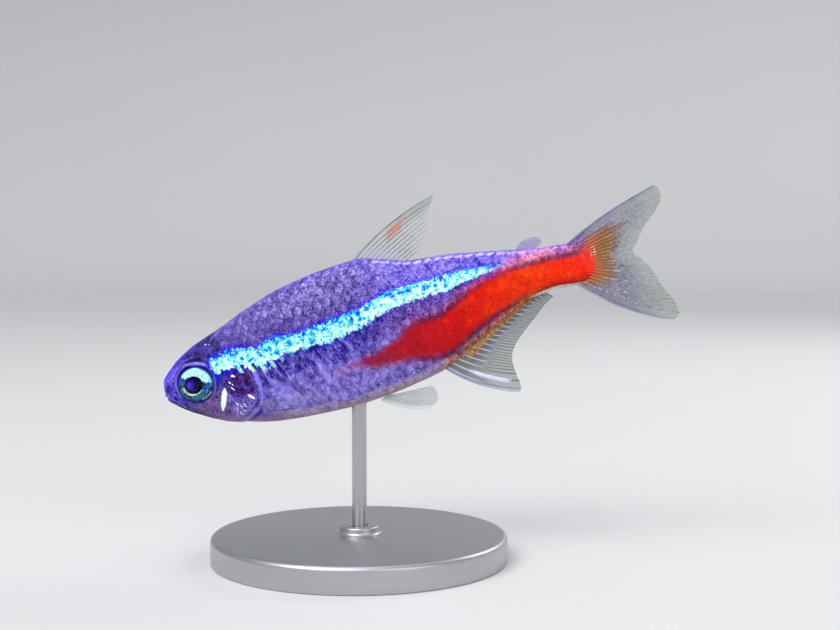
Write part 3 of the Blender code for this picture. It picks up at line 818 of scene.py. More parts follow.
    body = g.mix(body, throat, g.step(0.030, 0.010, from_belly + (fine - 0.5) * 0.01) * g.step(0.09, 0.14, f) * g.step(0.34, 0.26, f) * 0.75)
    # painted shade: darker along the underside of the chin and lower jaw
    body = g.mix(body, srgb(20, 10, 46), g.step(0.017, 0.004, from_belly) * g.step(0.115, 0.06, f) * 0.95)
    lip = g.math("SQRT", (f - 0.027) * (f - 0.027) + (h + 0.0335) * (h + 0.0335)) + (fine - 0.5) * 0.005
    body = g.mix(body, srgb(16, 12, 96), g.step(0.0100, 0.0050, lip) * 0.8)
    # rim of the eye, with a painted highlight along its upper half
    ring = g.step(1.04, 1.09, eye) * g.step(1.26, 1.14, eye)
    body = g.mix(body, srgb(128, 112, 236), ring * g.step(0.0, 0.03, h) * 0.75)
    body = g.mix(body, srgb(22, 14, 84), g.step(1.12, 1.02, eye) * g.step(0.16, 0.14, f) * 0.85)
    # painted shade in creases and painted highlight on crests
    relief_shading = g.field("relief_shading")
    body = g.mix(body, srgb(14, 6, 44), g.step(0.1, 1.1, relief_shading) * 0.55)
    body = g.mix(body, srgb(164, 150, 236), g.step(-0.1, -1.2, relief_shading) * 0.30)

    vivid = g.node("ShaderNodeHueSaturation")
    vivid.inputs["Saturation"].default_value = 1.07
    vivid.inputs["Value"].default_value = 1.22
    g.put(vivid.inputs["Color"], body)
    body = Sock(g, vivid.outputs[0])

    # sheen patches
    body = g.mix(body, srgb(150, 138, 246), g.step(0.10, 1.0, sheen * (rough * 1.1 + 0.40)) * 0.70)
    # painted glints on the scale edges along the back
    back_glint_mask = g.step(0.2, 0.8, back_glint + (fine - 0.5) * 0.5 + (grain - 0.5) * 0.4)
    body = g.mix(body, srgb(222, 200, 244), back_glint_mask * 0.72)

    # red band, crimson in front and orange behind
    hot = g.colours(
        g.step(0.44, 1.0, f) * 1.0,
        [
            (0.0, srgb(144, 26, 60)),
            (0.14, srgb(176, 14, 34)),
            (0.42, srgb(210, 8, 4)),
            (0.66, srgb(230, 34, 0)),
            (0.86, srgb(240, 50, 0)),
            (1.0, srgb(250, 36, 2)),
        ],
    )
    hot = g.mix(hot, srgb(250, 84, 6), g.step(0.48, 0.74, g.noise(flat, 1.5, 3.0)) * g.step(0.62, 0.80, f) * g.step(0.99, 0.93, f) * 0.65)
    hot = g.mix(hot, srgb(140, 0, 12), g.step(0.54, 0.20, rough) * 0.42)
    hot = g.mix(hot, srgb(255, 90, 40), g.step(0.70, 1.0, rough) * 0.30)
    inside = g.step(-0.0125, 0.0105, red + (tooth - 0.5) * 0.036 + (fine - 0.5) * 0.036 + (grain - 0.5) * 0.018)
    dust = g.step(-0.034, 0.0, red + (tooth - 0.5) * 0.03) * g.step(0.50, 0.80, f) * g.step(0.002, -0.006, 0.0 - below)
    body = g.mix(body, g.mix(g.mix(srgb(120, 34, 100), srgb(188, 52, 96), g.step(0.70, 0.82, f)), srgb(208, 100, 150), g.step(0.2, 0.8, rough)), dust * 0.80)
    pink = g.step(0.78, 0.87, f) * g.step(-0.042, -0.006, red + (mottle - 0.5) * 0.03)
    mauve = g.mix(srgb(124, 52, 136), srgb(214, 138, 206), g.step(0.2, 0.8, rough))
    rose = g.mix(srgb(200, 60, 112), srgb(252, 162, 190), g.step(0.2, 0.8, rough))
    body = g.mix(body, g.mix(rose, mauve, g.step(0.895, 0.945, f + (blob - 0.5) * 0.04) * 0.85), pink * 0.90)
    body = g.mix(body, hot, inside)
    shade = g.step(0.013, 0.0, red) * g.step(-0.013, -0.002, red) * g.step(0.0, -0.03, h + (f - 0.60) * -0.25) * g.step(0.54, 0.60, f)
    body = g.mix(body, srgb(72, 4, 42), shade * 0.72)
    low_tail = g.step(0.018, 0.006, from_belly + (fine - 0.5) * 0.008) * g.step(0.60, 0.65, f)
    brown = g.mix(srgb(108, 44, 4), srgb(218, 132, 36), g.step(0.25, 0.8, rough))
    body = g.mix(body, brown, low_tail * g.step(0.93, 0.87, f) * 0.85)
    # painted shade: darker red along the underside of the tail stalk
    body = g.mix(body, srgb(128, 4, 10), g.step(0.022, 0.006, from_belly + (fine - 0.5) * 0.012) * g.step(0.82, 0.90, f) * 0.75)
    body = g.mix(body, srgb(232, 206, 210), g.step(0.0085, 0.0045, from_belly + (fine - 0.5) * 0.003) * g.step(0.84, 0.88, f) * g.step(1.01, 0.98, f) * 0.85)
    specks = g.step(0.48, 0.62, speck) * g.step(0.915, 0.950, f) * g.step(-0.010, -0.030, h)
    body = g.mix(body, srgb(92, 26, 4), specks * 0.75)
    # end of the flesh
    tail_top = g.step(0.955, 0.985, f + (blob - 0.5) * 0.03) * g.step(0.004, -0.004, red + (fine - 0.5) * 0.01)
    body = g.mix(body, g.mix(srgb(96, 16, 48), srgb(176, 84, 60), rough), tail_top * g.step(0.0, 0.01, h) * 0.8)
    ends = g.step(0.986, 1.004, f + (blob - 0.5) * 0.02) * g.step(0.014, 0.030, g.math("ABSOLUTE", h))
    body = g.mix(body, srgb(178, 84, 22), ends * 0.8)

    # blue fringe over the stripe and navy under it
    start = g.step(0.124, 0.138, f) * g.step(0.815, 0.775, f)
    fringe = g.step(0.0150, 0.002, above + (tooth - 0.5) * 0.016 + (fine - 0.5) * 0.022) * g.step(-0.02, 0.0, above)
    body = g.mix(body, g.mix(srgb(14, 0, 190), srgb(62, 44, 255), g.step(0.2, 0.8, rough)), fringe * start * (0.95 - rear * 0.25))
    navy = g.step(0.020, 0.003, below + (tooth - 0.5) * 0.018) * g.step(-0.02, 0.0, below)
    body = g.mix(body, g.mix(srgb(8, 0, 110), srgb(36, 24, 214), g.step(0.2, 0.8, rough)), navy * start * (0.95 - rear * 0.45))
    halo = g.step(0.016, 0.0, g.math("ABSOLUTE", f - 0.136)) * g.step(1.9, 1.0, g.math("ABSOLUTE", stripe))
    body = g.mix(body, srgb(24, 12, 235), halo * 0.9)
    behind_eye = g.step(1.04, 1.10, eye) * g.step(1.44, 1.22, eye) * g.step(0.115, 0.130, f) * g.step(0.03, 0.015, h) * g.step(-0.035, -0.01, h)
    body = g.mix(body, srgb(20, 10, 205), behind_eye * 0.85)

    # the stripe itself, with diagonal teeth below it in front
    front = g.step(0.36, 0.22, f)
    clump = g.noise(flat, 2.7, 1.5, 0.5)
    wobble = (clump - 0.5) * (front * 1.1 + 1.2) + (fine - 0.5) * 1.2 + (tooth - 0.5) * front * 0.8
    core = g.step(1.22, 0.98, g.math("ABSOLUTE", stripe) + wobble)
    row = g.math("FRACT", (f + h * 0.40 - 0.2075) * (1 / 0.0246) + (clump - 0.5) * 0.25)
    comb = g.step(0.25, 0.14, g.math("ABSOLUTE", row - 0.5) + (fine - 0.5) * 0.12) * g.step(0.0190, 0.0130, below + (blob - 0.5) * 0.020) * g.step(-0.012, -0.006, below)
    core = g.math("MAXIMUM", core, comb * front * g.step(0.19, 0.20, f) * 0.95)
    core = core * g.step(0.128, 0.139, f + (tooth - 0.5) * 0.012) * g.step(0.815, 0.755, f + (speck - 0.5) * 0.20)
    tone = (clump - 0.5) * 1.0 + (blob - 0.5) * 1.2 + (speck - 0.5) * 1.3 + 0.70
    tone = tone + g.step(-1.0, 0.9, stripe) * -0.26
    core_colour = g.colours(
        tone,
        [
            (0.0, srgb(12, 20, 225)),
            (0.22, srgb(18, 70, 250)),
            (0.33, srgb(34, 150, 240)),
            (0.44, srgb(76, 210, 236)),
            (0.57, srgb(138, 242, 224)),
            (0.72, srgb(192, 252, 228)),
            (0.90, srgb(238, 255, 244)),
        ],
    )
    core_colour = g.mix(core_colour, srgb(222, 250, 255), rear * g.step(0.45, 0.9, tone) * 0.5)
    body = g.mix(body, core_colour, core)

    # silver spots and painted glints
    silver_and_glint_spot = g.step(0.40, 0.60, silver_and_glint + (fine - 0.5) * 1.7 + (grain - 0.5) * 1.4)
    body = g.mix(body, g.mix(srgb(186, 172, 240), srgb(240, 255, 248), g.step(0.3, 0.9, silver_and_glint + (fine - 0.5) * 0.6)), silver_and_glint_spot * g.step(0.1, 0.6, silver_and_glint))
    gleam = g.step(0.006, 0.0, g.math("ABSOLUTE", (f - 0.1370) - (h + 0.0620) * 0.52)) * g.step(0.10, 0.5, silver_and_glint) * g.step(0.95, 0.6, silver_and_glint) * g.step(0.16, 0.14, f)
    body = g.mix(body, srgb(96, 226, 250), gleam * 0.8)
    return body, core, silver_and_glint_spot, flat, fine, grain, rough


def skin_material(name, on_scales):
    g = Graph(name)
    colour, core, silver_and_glint_spot, flat, fine, grain, rough = fish_paint(g)
    if on_scales:
        p, q, tag = g.parts(g.field("scale", "Vector"))
        red = g.field("red")
        rim = g.step(0.80, 0.99, p + g.math("ABSOLUTE", q) * 0.04)
        ridge = g.step(0.010, 0.040, g.field("above")) * g.step(0.28, 0.36, g.parts(flat)[0] * (1 / MM))
        quiet = (1.0 - core * 0.9) * (1.0 - g.step(-0.004, 0.006, red) * 0.55)
        colour = g.blend(colour, srgb(124, 114, 158), rim * (ridge * 0.16 + 0.40) * quiet, "MULTIPLY")
        # painted highlight: a light arc across each scale before its rear margin
        arc = g.step(0.46, 0.76, p) * g.step(0.98, 0.84, p) * g.step(1.0, 0.4, g.math("ABSOLUTE", q))
        plain = 1.0 - g.step(-0.004, 0.006, red)
        colour = g.blend(colour, srgb(206, 196, 255), arc * g.step(0.36, 0.68, rough) * (ridge * 0.06 + 0.16) * quiet * plain, "SCREEN")
        bright = g.node("ShaderNodeHueSaturation")
        g.put(bright.inputs["Value"], (tag - 0.5) * 0.15 + 1.0)
        g.put(bright.inputs["Color"], colour)
        colour = Sock(g, bright.outputs[0])
    g.set(Base_Color=colour)
    g.set(Roughness=0.44 - core * 0.06 - silver_and_glint_spot * 0.08 + (fine - 0.5) * 0.20)
    g.bsdf.inputs["Specular IOR Level"].default_value = 0.15
    g.bsdf.inputs["IOR"].default_value = 1.40
    g.bsdf.inputs["Coat Weight"].default_value = 0.03
    g.bsdf.inputs["Coat Roughness"].default_value = 0.18
    normal = g.bump(fine * 0.5 + grain * 0.5, 0.35, 0.00003)
    if on_scales:
        ridges = g.math("SINE", p * 62.0) * 0.5 + 0.5
        normal = g.bump(ridges, 0.10, 0.000005, normal)
    g.set(Normal=normal)
    return g.mat


# --- skin -----------------------------------------------------------------------------
def warp_u(f):
    """The head takes 40% of the map's width."""
    f = np.asarray(f, float)
    return np.where(f < 0.25, (f + 0.005) / 0.255 * 0.40, 0.40 + (f - 0.25) / 0.765 * 0.60)


def build_skin():
    n = len(F_ROWS)
    around = 2 * HALF
    side = np.where(np.arange(around) <= HALF, -1.0, 1.0)
    index = np.where(np.arange(around) <= HALF, np.arange(around), around - np.arange(around))
    ring = RINGS[:, index, :]
    p = np.stack(
        [np.repeat(F_ROWS[:, None], around, 1), ring[..., 0] * side[None, :], ring[..., 1]], -1
    )
    along = np.gradient(p, axis=0)
    round_ = np.roll(p, -1, 1) - np.roll(p, 1, 1)
    normal = np.cross(round_, along)
    normal /= np.maximum(np.linalg.norm(normal, axis=-1, keepdims=True), 1e-12)
    outward = (normal * (p - np.stack([p[..., 0] * 0 + 0.4, p[..., 1] * 0, p[..., 2] * 0 - 0.005], -1))).sum(-1)
    if np.median(outward) < 0:
        normal = -normal
    push = relief(p[..., 0], p[..., 1], p[..., 2])
    gf, gh = p[..., 0] - EYE_F, p[..., 2] - EYE_H
    in_socket = (1 - ramp(0.036, 0.046, np.hypot(gf / 1.08, gh / 0.95)))[..., None]
    straight = np.stack([normal[..., 0] * 0 - 0.2, np.sign(p[..., 1]), normal[..., 0] * 0], -1)
    way = normal * (1 - in_socket) + straight / np.linalg.norm(straight, axis=-1, keepdims=True) * in_socket
    moved = p + way * push[..., None]
    tip = np.array([[SNOUT_TIP + 0.0004, 0, float(middle(SNOUT_TIP))]])
    end = np.array([[FLESH_END - 0.0006, 0, float(middle(FLESH_END))]])
    flat_points = np.concatenate([moved.reshape(-1, 3), tip, end])
    true_points = np.concatenate([p.reshape(-1, 3), tip, end])
    marks = markings(true_points, None)
    fields = dict(marks)
    fields["flat"] = true_points * MM
    # how far the relief dips below its neighbours, for painted shade in hollows and painted highlight on crests
    pad = np.pad(push, ((4, 4), (0, 0)), mode="edge")
    near = (pad[8:] + pad[:-8] + np.roll(push, 4, 1) + np.roll(push, -4, 1)) / 4
    hollow = (near - push) / 0.0009 * (1 - ramp(0.24, 0.25, p[..., 0]))
    hollow = hollow * ramp(0.046, 0.050, np.hypot(gf, gh) + (np.abs(p[..., 1]) < 0.012))
    fields["relief_shading"] = np.concatenate([np.clip(hollow, -1.2, 1.2).ravel(), [0, 0]])
    grid = np.arange(n * around).reshape(n, around)
    a, b = grid[:-1], grid[1:]
    quads = np.stack([a, np.roll(a, -1, 1), np.roll(b, -1, 1), b], -1).reshape(-1, 4)
    t0, t1 = n * around, n * around + 1
    front = np.stack([np.full(around, t0), np.roll(grid[0], -1), grid[0]], -1)
    rear = np.stack([np.full(around, t1), grid[-1], np.roll(grid[-1], -1)], -1)
    # the map: f across, from back round to back up it
    u = warp_u(F_ROWS)
    v = np.arange(around + 1) / around
    qu = np.stack([u[:-1], u[:-1], u[1:], u[1:]], -1)[:, None, :].repeat(around, 1)
    qv = np.stack([v[:-1], v[1:], v[1:], v[:-1]], -1)[None].repeat(n - 1, 0)
    uv_quads = np.stack([qu, qv], -1).reshape(-1, 2)
    mid_v = (v[:-1] + v[1:]) / 2
    uv_front = np.stack(
        [np.stack([np.zeros(around), mid_v], -1), np.stack([np.full(around, u[0]), v[1:]], -1), np.stack([np.full(around, u[0]), v[:-1]], -1)], 1
    ).reshape(-1, 2)
    uv_rear = np.stack(
        [np.stack([np.ones(around), mid_v], -1), np.stack([np.full(around, u[-1]), v[:-1]], -1), np.stack([np.full(around, u[-1]), v[1:]], -1)], 1
    ).reshape(-1, 2)
    made = make_mesh(
        "fish_skin",
        posed(flat_points),
        [quads, front, rear],
        fields,
        np.concatenate([uv_quads, uv_front, uv_rear]) * 0.98 + 0.01,
    )
    return made


# --- scales ---------------------------------------------------------------------------
def flap_f(h):
    """How far back the soft edge of the gill cover reaches at a height."""
    line = line_of(FLAP_EDGE, 80)
    keep = slice(0, int(np.argmin(line[:, 1])) + 1)
    return float(np.interp(-h, -line[keep, 1], line[keep, 0]))


ROW_HEIGHT = ((0.15, 0.0240), (0.45, 0.0262), (0.62, 0.0250), (0.80, 0.0210), (1.0, 0.0175))
STEP_ALONG = ((0.15, 0.0205), (0.45, 0.0222), (0.70, 0.0208), (1.0, 0.0168))


def build_scales(name, side):
    cols, rows = 7, 7
    p = np.linspace(0, 1, cols + 1)
    q = np.linspace(-1, 1, rows + 1)
    P, Q = np.meshgrid(p, q, indexing="ij")
    starts = [0.150]
    while starts[-1] < 0.985:
        starts.append(starts[-1] + float(smooth(STEP_ALONG, 1, starts[-1])))
    starts = np.array(starts)
    centres = []
    for j in range(-16, 17):
        for i in range(len(starts) - 1):
            x = starts[i] + (0.5 * (starts[i + 1] - starts[i]) if j % 2 else 0)
            gap = float(smooth(ROW_HEIGHT, 1, x + 0.012))
            line_t = t_at_height(x + 0.012, 0.012 + 0.02 * ramp(0.45, 0.62, x))
            girth = float(np.interp(x + 0.012, F_ROWS, GIRTH))
            t = line_t - (j + 0.5) * gap / girth
            room = min(t, 1 - t) * girth
            if room < 0.30 * gap or x > 0.975:
                continue
            h = float(on_body(x + 0.010, t, side)[2])
            if h > 0.040 and x < 0.163 + 0.10 * max(0.0, 0.085 - h):
                continue
            if h <= 0.040 and x + 0.006 < flap_f(max(h, -0.10)):
                continue
            if x < 0.215 and h < -0.100:
                continue
            if x < 0.20 and h < 0.05:
                continue
            centres.append((x, t, gap, girth, room, j, i))
    points, fields = [], {"scale": []}
    tops = []
    uvs = []
    per = (cols + 1) * (rows + 1)
    for x, t, gap, girth, room, j, i in centres:
        step = float(smooth(STEP_ALONG, 1, x))
        length = step * 1.52
        half = gap * 0.64 * min(1.0, (room * 1.15 + 0.10 * gap) / (0.64 * gap))
        half *= 0.94 + 0.12 * rng.random()
        shape = 0.60 + 0.40 * np.sin(np.pi * np.clip(P * 0.72 + 0.10, 0, 1))
        fpos = x + length * P * (1 - 0.30 * np.abs(Q) ** 2.2)
        tilt = 0.06 * (rng.random() - 0.5)
        fpos = np.minimum(fpos, 1.003)
        tpos = t + (Q * half * shape + tilt * length * (P - 0.4)) / girth
        tpos = np.clip(tpos, 0.0005, 0.9995)
        base = on_body(fpos, tpos, side)
        n = body_normal(fpos, tpos, side)
        lift = -0.00095 + 0.00085 * P**1.4 + 0.00014 * (1 - Q**2) * np.sin(np.pi * P * 0.8)
        lift = lift - 0.00012 * np.abs(Q) ** 3 + 0.00006 * (rng.random() - 0.5)
        top = base + n * lift[..., None]
        thin = 0.00020
        bottom = base + n * (lift - thin)[..., None]
        points.append(np.concatenate([top.reshape(-1, 3), bottom.reshape(-1, 3)]))
        tops.append(np.concatenate([base.reshape(-1, 3)] * 2))
        tag = rng.random()
        s = np.stack([P.ravel(), Q.ravel(), np.full(per, tag)], -1)
        fields["scale"].append(np.concatenate([s, s]))
        cell_u = x + step * (0.30 + P * 0.96)
        cell_t = t + Q * gap * 0.49 / girth
        uv = np.stack([cell_u.ravel(), cell_t.ravel()], -1)
        inner_u = x + step * (0.78 + (P - 0.5) * 0.90)  # the underside's, so the rim has width
        inner = np.stack([inner_u.ravel(), (t + Q * gap * 0.46 / girth).ravel()], -1)
        uvs.append(np.concatenate([uv, inner]))
    count = len(centres)
    points = np.concatenate(points)
    base_points = np.concatenate(tops)
    fields["scale"] = np.concatenate(fields["scale"])
    uvs = np.concatenate(uvs)
    marks = markings(base_points, None)
    fields.update(marks)
    fields["flat"] = base_points * MM
    fields["relief_shading"] = np.zeros(len(base_points))
    g = np.arange(per).reshape(cols + 1, rows + 1)
    a, b, c, d = g[:-1, :-1], g[1:, :-1], g[1:, 1:], g[:-1, 1:]
    top = np.stack([a, b, c, d], -1).reshape(-1, 4)
    bottom = top[:, ::-1] + per
    edge = np.concatenate([g[:, 0], g[-1, 1:], g[::-1, -1][1:], g[0, ::-1][1:-1]])
    nxt = np.roll(edge, -1)
    rim = np.stack([edge, edge + per, nxt + per, nxt], -1)
    one = np.concatenate([top, bottom, rim])
    if side > 0:
        one = one[:, ::-1]
    faces = (one[None] + (np.arange(count) * 2 * per)[:, None, None]).reshape(-1, 4)
    uv_loops = uvs[faces.ravel()]
    uv_loops = np.stack(
        [(uv_loops[:, 0] - 0.13) / 0.90, np.clip(uv_loops[:, 1], 0, 1)], -1
    )
    made = make_mesh(name, posed(points), [faces], fields, uv_loops * 0.98 + 0.01, sharp=35)
    return made, count


# --- turned shapes --------------------------------------------------------------------
def turned(profile, segments):
    """Profile rows of (radius, height): points and faces of the turned, closed shape."""
    profile = np.array(profile, float)
    inner = profile[1:-1]
    angle = 2 * np.pi * np.arange(segments) / segments
    ring = np.stack([np.cos(angle), np.sin(angle)], -1)
    pts = (inner[:, None, 0:1] * ring[None]).reshape(-1, 2)
    pts = np.concatenate([pts, np.repeat(inner[:, 1], segments)[:, None]], 1)
    first = np.array([[0, 0, profile[0, 1]]])
    last = np.array([[0, 0, profile[-1, 1]]])
    points = np.concatenate([pts, first, last])
    m = len(inner)
    grid = np.arange(m * segments).reshape(m, segments)
    a, b = grid[:-1], grid[1:]
    quads = np.stack([a, np.roll(a, -1, 1), np.roll(b, -1, 1), b], -1).reshape(-1, 4)
    f = np.stack([np.full(segments, m * segments), np.roll(grid[0], -1), grid[0]], -1)
    l = np.stack([np.full(segments, m * segments + 1), grid[-1], np.roll(grid[-1], -1)], -1)
    return points, [quads, f, l]


def profile_through(rows, n):
    """A smooth profile through a few (radius, height) rows."""
    p = np.array(rows, float)
    s = np.concatenate([[0], np.cumsum(np.hypot(*np.diff(p, axis=0).T))])
    even = np.linspace(0, s[-1], n)
    table = [(s[i], p[i, 0], p[i, 1]) for i in range(len(p))]
    out = np.stack([smooth(table, 1, even), smooth(table, 2, even)], -1)
    out[0, 0] = out[-1, 0] = 0
    out[:, 0] = np.maximum(out[:, 0], 0)
    return out


# --- eyes -------------------------------------------------------------------------------
EYE_TILT = math.radians(4)
EYE_WIDE, EYE_TALL = 1.10, 0.95
EYE_SEAT = 0.0490  # how far out the rim's plane lies at its centre


def eye_points(local, side):
    """Local (rearward, up, outward) about the eye's axis to f, y, h."""
    c, s = math.cos(EYE_TILT), math.sin(EYE_TILT)
    x, u, n = local[..., 0] * EYE_WIDE, local[..., 1] * EYE_TALL, local[..., 2]
    f = EYE_F + x * c - n * s
    y = EYE_SEAT + x * s + n * c
    return np.stack([f, side * y, EYE_H + u], -1)


def eye_material():
    g = Graph("eye_iris")
    x, u, n = g.parts(g.field("eye_place", "Vector"))  # in eye radii
    r = g.field("eye_r")
    v = g.vector(x * 4.0, u * 4.0, n * 4.0)
    fine = g.noise(v, 3.2, 3.0, 0.6)
    ragged = g.noise(g.vector(x * 4.0, u * 1.6, n), 3.4, 3.0, 0.65)
    spin = g.noise(g.vector(x / (r + 0.05) * 5.0, u / (r + 0.05) * 5.0, r * 1.2), 1.4, 3.0, 0.6)
    # dark blue-green ground
    ground = g.mix(srgb(6, 14, 74), srgb(46, 112, 176), g.step(0.40, 0.64, spin * 0.6 + fine * 0.4))
    ground = g.mix(ground, srgb(40, 140, 104), g.step(0.50, 0.66, fine) * g.step(0.15, -0.4, u) * 0.8)
    ground = g.mix(ground, srgb(6, 14, 62), g.step(0.50, 0.36, ragged) * g.step(0.0, -0.3, u) * 0.7)
    ground = g.mix(ground, srgb(2, 2, 22), g.step(0.30, 0.02, u + x * 0.1) * g.step(-0.35, -0.12, u) * g.step(0.2, 0.55, x) * 0.8)
    ground = g.mix(ground, srgb(24, 84, 214), g.step(-0.15, -0.45, u) * g.step(-0.1, 0.4, x) * g.step(0.40, 0.58, spin) * 0.85)
    ground = g.mix(ground, srgb(34, 150, 176), g.step(-0.46, -0.70, u) * g.step(0.60, 0.1, g.math("ABSOLUTE", x - 0.10)) * g.step(0.40, 0.58, fine) * 0.85)
    # bright crescent over the pupil, sloping down behind, under a blue rim
    slope = u + x * 0.27 + g.math("MAXIMUM", x - 0.10, 0.0) * 0.46
    low = g.step(0.375, 0.435, slope + (ragged - 0.5) * 0.44 + (fine - 0.5) * 0.24)
    crescent = low * g.step(0.890, 0.835, r + (fine - 0.5) * 0.09 + g.step(0.05, 0.60, x) * 0.055) * g.step(0.46, 0.52, r)
    shine = g.colours(
        fine * 1.0 + ragged * 0.7 - 0.36,
        [
            (0.0, srgb(20, 120, 220)),
            (0.36, srgb(60, 216, 245)),
            (0.46, srgb(160, 252, 250)),
            (0.58, srgb(236, 255, 250)),
            (1.0, srgb(255, 248, 250)),
        ],
    )
    rim = g.step(0.84, 0.90, r) * g.step(0.05, 0.30, u)
    under_it = g.step(0.20, 0.32, slope + (ragged - 0.5) * 0.30) * g.step(0.46, 0.52, r)
    ground = g.mix(ground, g.mix(srgb(4, 30, 150), srgb(16, 120, 214), g.step(0.35, 0.65, fine)), under_it * 0.85)
    flecks = g.step(0.30, 0.12, g.cells(v, 2.3)) * g.step(0.10, -0.25, u) * g.step(0.56, 0.62, r)
    ground = g.mix(ground, g.mix(srgb(60, 196, 190), srgb(206, 204, 120), g.step(0.46, 0.60, ragged)), flecks * 0.85)
    colour = g.mix(ground, g.mix(srgb(10, 10, 118), srgb(56, 46, 206), g.step(0.3, 0.7, fine)), rim)
    colour = g.mix(colour, shine, crescent)
    # pale gold inner edge under the pupil
    ring = g.step(0.470, 0.485, r) * g.step(0.555, 0.525, r + (fine - 0.5) * 0.05 - g.step(0.05, -0.30, x) * 0.030)
    below = g.step(-0.02, -0.16, u + x * 0.25) * g.step(0.42, 0.22, x)
    worn = 1.0 - g.step(0.50, 0.62, ragged) * g.step(-0.25, 0.10, x) * 0.75
    colour = g.mix(colour, g.mix(srgb(104, 132, 66), srgb(236, 248, 186), g.step(0.36, 0.58, fine)), ring * below * worn * 0.95)
    # silver arc at the lower rear rim
    arc = g.step(0.865, 0.895, r + (fine - 0.5) * 0.05) * g.step(-0.48, -0.58, u) * g.step(0.02, 0.12, x) * g.step(0.68, 0.58, x)
    colour = g.mix(colour, srgb(246, 240, 224), arc * 0.95)
    # the pupil's wall and floor, lighter toward the front as a painted reflection
    colour = g.mix(colour, g.mix(srgb(1, 1, 20), srgb(8, 5, 84), g.step(0.25, -0.25, x)), g.step(0.478, 0.462, r))
    g.set(Base_Color=colour, Roughness=0.26 + fine * 0.18)
    g.bsdf.inputs["Specular IOR Level"].default_value = 0.04
    g.set(Normal=g.bump(spin * 0.6 + fine * 0.4, 0.35, 0.000012))
    return g.mat


def lens_material():
    g = Graph("eye_lens")
    x, u, n = g.parts(g.field("eye_place", "Vector"))
    v = g.vector(x * 3.0, u * 3.0, n * 3.0)
    cloud = g.noise(v, 3.2, 3.0, 0.6)
    # painted reflection: a violet patch on the front of the lens, with the lens lighter toward its front
    reflection_patch = g.step(0.32, 0.0, g.math("SQRT", (x + 0.20) * (x + 0.20) + (u - 0.06) * (u - 0.06)) + (cloud - 0.5) * 0.3)
    colour = g.mix(srgb(3, 2, 34), srgb(16, 10, 128), g.step(0.22, -0.12, x + (cloud - 0.5) * 0.5))
    colour = g.mix(colour, srgb(62, 52, 224), reflection_patch * 0.80)
    g.set(Base_Color=colour, Roughness=0.12 + cloud * 0.10)
    g.bsdf.inputs["Specular IOR Level"].default_value = 0.02
    return g.mat


def cornea_material():
    g = Graph("eye_cornea")
    tree = g.tree
    clear = g.node("ShaderNodeBsdfTransparent")
    both = g.node("ShaderNodeMixShader")
    edge = g.node("ShaderNodeFresnel")
    edge.inputs["IOR"].default_value = 1.38
    film = g.noise(g.field("eye_place", "Vector"), 3.0, 2.0)
    g.set(Base_Color=g.mix(srgb(8, 8, 30), srgb(20, 20, 60), film), Roughness=0.02 + film * 0.03)
    g.bsdf.inputs["Specular IOR Level"].default_value = 1.0
    g.bsdf.inputs["Metallic"].default_value = 0.0
    glossy = g.math("MINIMUM", Sock(g, edge.outputs[0]) * 0.25, 0.030)
    g.put(both.inputs[0], glossy)
    tree.links.new(clear.outputs[0], both.inputs[1])
    tree.links.new(g.bsdf.outputs[0], both.inputs[2])
    g.set(Base_Color=(0.9, 0.95, 1.0, 1.0))
    for link in list(g.bsdf.inputs["Base Color"].links):
        tree.links.remove(link)
    g.bsdf.inputs["Base Color"].default_value = (0.85, 0.9, 1.0, 1.0)
    g.bsdf.inputs["Metallic"].default_value = 1.0
    tree.links.new(both.outputs[0], g.out.inputs["Surface"])
    return g.mat


def build_eye(name, side, mats):
    ball = profile_through(
        [
            (0, -0.0120), (0.0165, -0.0110), (0.0196, -0.0060), (0.0200, -0.0005),
            (0.0208, 0.0018), (0.0232, 0.0027), (0.0270, 0.0021), (0.0330, 0.0002),
            (0.0385, -0.0030), (0.0420, -0.0070), (0.0425, -0.0120), (0.0390, -0.0200),
            (0.0290, -0.0280), (0.0150, -0.0325), (0, -0.0340),
        ],
        64,
    )
    lens = profile_through(
        [(0, 0.0062)]
        + [(0.0188 * math.sin(a), -0.0110 + 0.0172 * math.cos(a)) for a in np.linspace(0.15, 3.0, 20)]
        + [(0, -0.0282)],
        34,
    )
    dome = [(0.0, 0.0108)] + [
        (r, 0.0108 - 0.0128 * (r / 0.0425) ** 2 - 0.0052 * (r / 0.0425) ** 6)
        for r in np.linspace(0.003, 0.0425, 22)
    ]
    inner = [
        (r, 0.0098 - 0.0128 * (r / 0.0425) ** 2 - 0.0052 * (r / 0.0425) ** 6)
        for r in np.linspace(0.0415, 0.003, 20)
    ] + [(0.0, 0.0098)]
    made = []
    for part, profile, mat in (
        ("eyeball_", ball, mats[0]),
        ("eye_lens_", lens, mats[1]),
        ("eye_cornea_", np.array(dome + inner), mats[2]),
    ):
        pts, faces = turned(profile, 112)
        local = pts.copy()
        fields = {
            "eye_place": pts / EYE_R,
            "eye_r": np.hypot(pts[:, 0], pts[:, 1]) / EYE_R,
        }
        if part != "eye_cornea_":  # the pupil sits forward and a little low
            inward = 1 - ramp(0.023, 0.040, np.hypot(pts[:, 0], pts[:, 1]))
            local[:, 0] -= 0.0060 * inward
            local[:, 1] -= 0.0022 * inward
        place = eye_points(local, side)
        flipped = [g[:, ::-1] for g in faces] if side < 0 else faces
        obj = make_mesh(part + name, posed(place), flipped, fields, sharp=None)
        fix_normals(obj)
        obj.data.materials.append(mat)
        made.append(obj)
    return made


